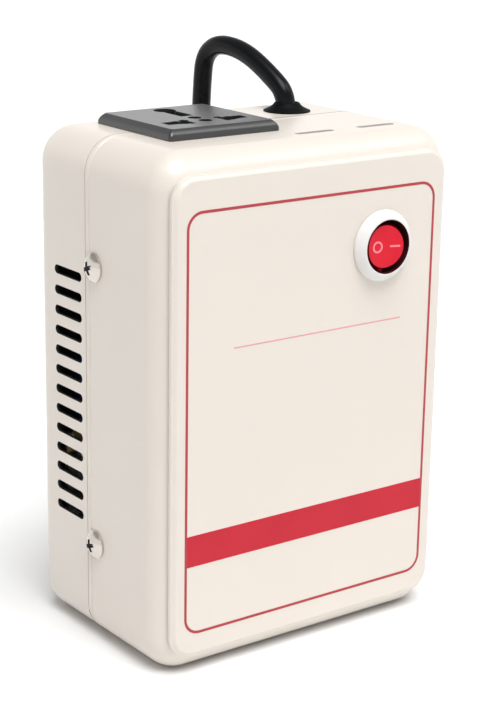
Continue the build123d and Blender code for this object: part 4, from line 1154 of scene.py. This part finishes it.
def recess_bar():
    """Tapered bar that cuts one stroke of a cross recess, drawn on the screw's axis."""
    screw = settings().screw
    half, thin = screw.recess_span / 2, screw.recess / 2
    floor = screw.head_rise - screw.recess_depth
    square = ((-1, -1), (1, -1), (1, 1), (-1, 1))
    return lofted([
        [(x * along, y * across, height) for x, y in square]
        for along, across, height in (
            (screw.recess_taper * half, thin / 2, floor), (half, thin, screw.head_rise)
        )
    ])


def build_screw(name, stand):
    """Pan-head screw with a cross recess, drawn along Z and stood in place by a matrix."""
    screw = settings().screw
    shank_radius, shank_length = screw.shank
    dome = screw.head_rise - screw.head_edge
    ball = (screw.head_radius ** 2 + dome ** 2) / (2 * dome)
    widest = math.degrees(math.asin(screw.head_radius / ball))
    profile = [
        (0, -shank_length), (shank_radius, -shank_length), (shank_radius, 0),
        (screw.head_radius, 0),
        *arc((0, screw.head_rise - ball), ball, 90 - widest, 90, steps=12),
    ]
    piece = piece_from(
        name, place(turned(profile, steps=64), stand), finishes["screw_nickel"],
        nodes=("side_screws",),
    )
    cross = Matrix.Rotation(math.radians(90), 4, "Z")
    carve(piece, [place(recess_bar(), stand), place(recess_bar(), stand @ cross)])
    back = stand.inverted()
    flat = 0.9

    # The recess's walls get the near black finish as painted shade in the cross recess.
    def in_recess(at, normal):
        along, across, up = back @ at
        slope = (back.to_3x3() @ normal).z
        return up > 0 and math.hypot(along, across) < screw.recess_span / 2 and slope < flat

    repaint(piece, finishes["primer_and_shade"], in_recess)
    soften(piece, screw.edge, steep=35)


def build_screws():
    """Two screws through each side, in front of the seam."""
    screw = settings().screw
    low, high = case_box
    spin = Matrix.Rotation(screw.spin, 4, "Z")
    for side, side_name in ((-1, "left"), (1, "right")):
        for height, height_name in ((screw.low, "low"), (screw.high, "high")):
            origin = Vector((side * (high.x - low.x) / 2, seam - screw.from_seam, height))
            stand = facing(origin, (0, 1, 0), (side, 0, 0)) @ spin
            build_screw(f"side_screw_{side_name}_{height_name}", stand)


def dress_inside():
    """Gives every CAD node that is still shown a better finish in its slot."""
    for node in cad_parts.values():
        for index, old in enumerate(node.data.materials):
            name = old.name.split(".")[0] if old else ""
            if name in finishes:
                node.data.materials[index] = finishes[name]


def build_camera():
    """Camera that sees the part as the photograph does."""
    lens = bpy.data.cameras.new("camera")
    lens.lens = FOCAL_LENGTH
    lens.sensor_fit = "VERTICAL"
    lens.sensor_height = lens.sensor_width = SENSOR_SIDE
    lens.clip_start = 0.01
    lens.clip_end = 50
    camera = add_object("camera", lens)
    turn = Matrix((CAMERA_RIGHT, -CAMERA_DOWN, -CAMERA_AHEAD)).transposed().to_4x4()
    camera.matrix_world = Matrix.Translation(CAMERA_PLACE) @ turn
    bpy.context.scene.camera = camera


def white_floor():
    """White floor that the part stands on."""
    stage = settings().stage
    bm = bmesh.new()
    bmesh.ops.create_grid(bm, x_segments=1, y_segments=1, size=stage.floor_size / 2)
    mesh = mesh_from("floor", bm)
    mesh.materials.append(
        material("floor_paper", stage.floor, shift=0.0, rough=0.9, rough_shift=0.06, bump=0.0)
    )
    return add_object("floor", mesh)


def key_light():
    """Wide, soft light from above the front."""
    stage = settings().stage
    light = bpy.data.lights.new("key", "SUN")
    light.energy = stage.key
    light.angle = stage.key_angle
    key = add_object("key", light)
    key.matrix_world = facing((0, 0, 1), RIGHTWARDS, stage.key_side)
    return key


def softbox_light():
    """Square softbox that faces the outlet."""
    stage = settings().stage
    panel = bpy.data.lights.new("softbox", "AREA")
    panel.shape = "SQUARE"
    panel.size = stage.softbox_size
    panel.energy = stage.softbox
    towards = Vector(stage.softbox_side).normalized()
    softbox = add_object("softbox", panel)
    softbox.matrix_world = facing(
        towards * stage.softbox_away + plate_middle, RIGHTWARDS, towards
    )
    return softbox


def build_world():
    """Even light, dimmer than the white that the camera and low reflections see."""
    stage = settings().stage
    world = bpy.data.worlds.new("studio")
    world.use_nodes = True
    bpy.context.scene.world = world
    nodes = world.node_tree.nodes
    nodes.clear()
    out = nodes.new("ShaderNodeOutputWorld")
    mixed = nodes.new("ShaderNodeMixShader")
    dim, white = (nodes.new("ShaderNodeBackground") for _ in range(2))
    set_sockets(dim, {"Color": (1, 1, 1, 1), "Strength": stage.dome})
    set_sockets(white, {"Color": (1, 1, 1, 1), "Strength": 1})
    rays = nodes.new("ShaderNodeLightPath")
    way = nodes.new("ShaderNodeTexCoord")
    parts = nodes.new("ShaderNodeSeparateXYZ")
    horizon = nodes.new("ShaderNodeMapRange")
    set_sockets(
        horizon, {"From Min": stage.bright, "From Max": stage.dim, "To Min": 1, "To Max": 0}
    )
    low, seen, either = (nodes.new("ShaderNodeMath") for _ in range(3))
    low.operation = "MULTIPLY"
    seen.operation = either.operation = "MAXIMUM"
    for source, target in (
        (way.outputs["Generated"], parts.inputs["Vector"]),
        (parts.outputs["Z"], horizon.inputs["Value"]),
        (horizon.outputs["Result"], low.inputs[0]),
        (rays.outputs["Is Glossy Ray"], low.inputs[1]),
        (rays.outputs["Is Camera Ray"], seen.inputs[0]),
        (rays.outputs["Is Transmission Ray"], seen.inputs[1]),
        (seen.outputs["Value"], either.inputs[0]),
        (low.outputs["Value"], either.inputs[1]),
        (either.outputs["Value"], mixed.inputs["Fac"]),
        (dim.outputs["Background"], mixed.inputs[1]),
        (white.outputs["Background"], mixed.inputs[2]),
        (mixed.outputs["Shader"], out.inputs["Surface"]),
    ):
        world.node_tree.links.new(source, target)


def build_stage():
    """White floor, even light from all round and a soft key from above the front."""
    floor, key, softbox = white_floor(), key_light(), softbox_light()
    build_world()
    bpy.context.scene.view_settings.view_transform = "Standard"


def outside_finishes():
    """Finishes of the case, the print and the pieces that stand out of it."""
    case, ink, switch = settings().case, settings().ink, settings().switch
    add_finish("case_enamel", case.enamel, shift=0.012, patch=0.05, rough=0.34, grain=0.0011,
               bump=0.05, coat=0.25)
    add_finish("primer_and_shade", case.primer_and_shade, shift=0.1, patch=0.02, rough=0.6, rough_shift=0.06)
    add_finish("line_ink", ink.line_ink, shift=0.05, patch=0.01, rough=0.5, shine=0.25)
    add_finish("band_ink", ink.band_ink, patch=0.02, rough=0.5, shine=0.25)
    add_finish("rule_ink", ink.rule_ink, shift=0.05, patch=0.01)
    add_finish("mark_ink", switch.mark_ink, shift=0.02, patch=0.005, rough=0.5, shine=0.2)
    add_finish("switch_white", switch.white, shift=0.015, patch=0.01, rough=0.36,
               grain=0.0006, bump=0.04)
    add_finish("switch_red", switch.red, patch=0.006, rough=0.34, grain=0.0005, bump=0.04,
               shine=0.25)
    add_finish("rocker_side", switch.shaded_red, patch=0.006, shine=0.2)
    add_finish("well_painted_shade", switch.well, shift=0.05, patch=0.006, rough=0.5, shine=0.2)
    add_finish("socket_black", settings().outlet.black, shift=0.08, patch=0.012,
               rough_shift=0.06, grain=0.0005, bump=0.3, coat=0.7, sheen=0.28)
    add_finish("bush_black", settings().cord.black, shift=0.1, patch=0.008, rough=0.5,
               rough_shift=0.06, shine=0.06)
    add_finish("cord_black", settings().cord.black, shift=0.1, patch=0.02, rough=0.26,
               rough_shift=0.04, grain=0.0009, bump=0.06, shine=0.15)
    add_finish("screw_nickel", settings().screw.nickel, shift=0.05, patch=0.004, rough=0.13,
               grain=0.0009, bump=0.3, metallic=1)


def inside_finishes():
    """Finishes of the inner parts and of the band round the coil."""
    inside = settings().inside
    add_finish("plunger_nylon", inside.nylon, shift=0.03, patch=0.004, rough=0.45)
    add_finish("contact_brass", inside.brass, shift=0.08, patch=0.006, rough=0.3,
               rough_shift=0.08, metallic=1)
    add_finish("tie_black", inside.tie, shift=0.1, patch=0.01, rough=0.5, rough_shift=0.06)
    add_finish("bolt_zinc", inside.zinc, shift=0.08, patch=0.004, rough=0.38,
               rough_shift=0.1, grain=0.0005, metallic=1)
    core = add_finish("core_steel", inside.steel, rough=0.45, rough_shift=0.06, metallic=0.8)
    banded(core, inside.lamination, inside.steel_dark, inside.steel_light)
    wound = add_finish("winding_copper", inside.copper, rough=0.28, rough_shift=0.06,
                       metallic=0.9)
    banded(wound, inside.wire, inside.copper_dark, inside.copper_light)
    add_finish("wrap_tape", inside.tape, shift=0.06, patch=0.01, rough=0.3)
    add_finish("fuse_sleeve", inside.sleeve, shift=0.05, patch=0.004)
    add_finish("wire_blue", inside.blue, shift=0.08, patch=0.01, rough=0.45, shine=0.2)


class FinishesOperator(Operator):
    """Make every finish of the converter"""

    bl_idname = "converter.finishes"
    bl_label = "Finishes"

    def execute(self, context):
        outside_finishes()
        inside_finishes()
        return {"FINISHED"}


class CameraOperator(Operator):
    """Set the camera where the photograph was taken"""

    bl_idname = "converter.camera"
    bl_label = "Camera"

    def execute(self, context):
        build_camera()
        return {"FINISHED"}


class CordOperator(Operator):
    """Lay the supply cord and its coil"""

    bl_idname = "converter.cord"
    bl_label = "Supply cord"

    def execute(self, context):
        build_cord()
        return {"FINISHED"}


class CaseOperator(Operator):
    """Build both half shells of the case"""

    bl_idname = "converter.case"
    bl_label = "Case"

    def execute(self, context):
        build_front()
        build_rear()
        return {"FINISHED"}


class PrintOperator(Operator):
    """Print the frame, band and rule on the panel"""

    bl_idname = "converter.print"
    bl_label = "Print"

    def execute(self, context):
        build_print()
        return {"FINISHED"}


class SwitchOperator(Operator):
    """Build the bezel, the rocker and its marks"""

    bl_idname = "converter.switch"
    bl_label = "Switch"

    def execute(self, context):
        build_housing()
        build_rocker()
        build_marks()
        return {"FINISHED"}


class OutletOperator(Operator):
    """Build the faceplate of the outlet"""

    bl_idname = "converter.outlet"
    bl_label = "Outlet"

    def execute(self, context):
        build_outlet()
        return {"FINISHED"}


class BushOperator(Operator):
    """Build the bush that the cord leaves through"""

    bl_idname = "converter.bush"
    bl_label = "Bush"

    def execute(self, context):
        build_bush()
        return {"FINISHED"}


class ScrewsOperator(Operator):
    """Build the screws at the sides"""

    bl_idname = "converter.screws"
    bl_label = "Side screws"

    def execute(self, context):
        build_screws()
        return {"FINISHED"}


class InsideOperator(Operator):
    """Give the inner parts their finishes"""

    bl_idname = "converter.inside"
    bl_label = "Inner parts"

    def execute(self, context):
        dress_inside()
        return {"FINISHED"}


class StageOperator(Operator):
    """Set the white floor and the light"""

    bl_idname = "converter.stage"
    bl_label = "Stage"

    def execute(self, context):
        build_stage()
        return {"FINISHED"}


class ConverterPanel(Panel):
    """Sizes, colours and the steps that build the converter"""

    bl_idname = "VIEW3D_PT_converter"
    bl_label = "Converter"
    bl_space_type = "VIEW_3D"
    bl_region_type = "UI"
    bl_category = "Converter"

    def draw(self, context):
        for operator in STEPS:
            self.layout.operator(operator.bl_idname)
        for part in GROUPS:
            owner = getattr(context.scene.converter, part)
            box = self.layout.box()
            box.label(text=part.capitalize())
            for name in owner.__annotations__:
                box.prop(owner, name)


GROUPS = ("case", "ink", "switch", "outlet", "cord", "bush", "screw", "inside", "stage")
STEPS = (
    FinishesOperator,
    CameraOperator,
    CordOperator,
    CaseOperator,
    PrintOperator,
    SwitchOperator,
    OutletOperator,
    BushOperator,
    ScrewsOperator,
    InsideOperator,
    StageOperator,
)
CLASSES = (
    CaseSettings,
    InkSettings,
    SwitchSettings,
    OutletSettings,
    CordSettings,
    BushSettings,
    ScrewSettings,
    InsideSettings,
    StageSettings,
    ConverterSettings,
    *STEPS,
    ConverterPanel,
)


def register():
    """Registers the settings, the steps and the panel."""
    for one in CLASSES:
        bpy.utils.register_class(one)
    bpy.types.Scene.converter = PointerProperty(type=ConverterSettings)


def unregister():
    """Takes the settings, the steps and the panel away again."""
    del bpy.types.Scene.converter
    for one in reversed(CLASSES):
        bpy.utils.unregister_class(one)


def main():
    """Builds the converter step by step."""
    register()
    bpy.ops.converter.finishes()
    bpy.ops.converter.camera()
    bpy.ops.converter.cord()
    bpy.ops.converter.case()
    bpy.ops.converter.print()
    bpy.ops.converter.switch()
    bpy.ops.converter.outlet()
    bpy.ops.converter.bush()
    bpy.ops.converter.screws()
    bpy.ops.converter.inside()
    bpy.ops.converter.stage()


if __name__ == "__main__":
    main()
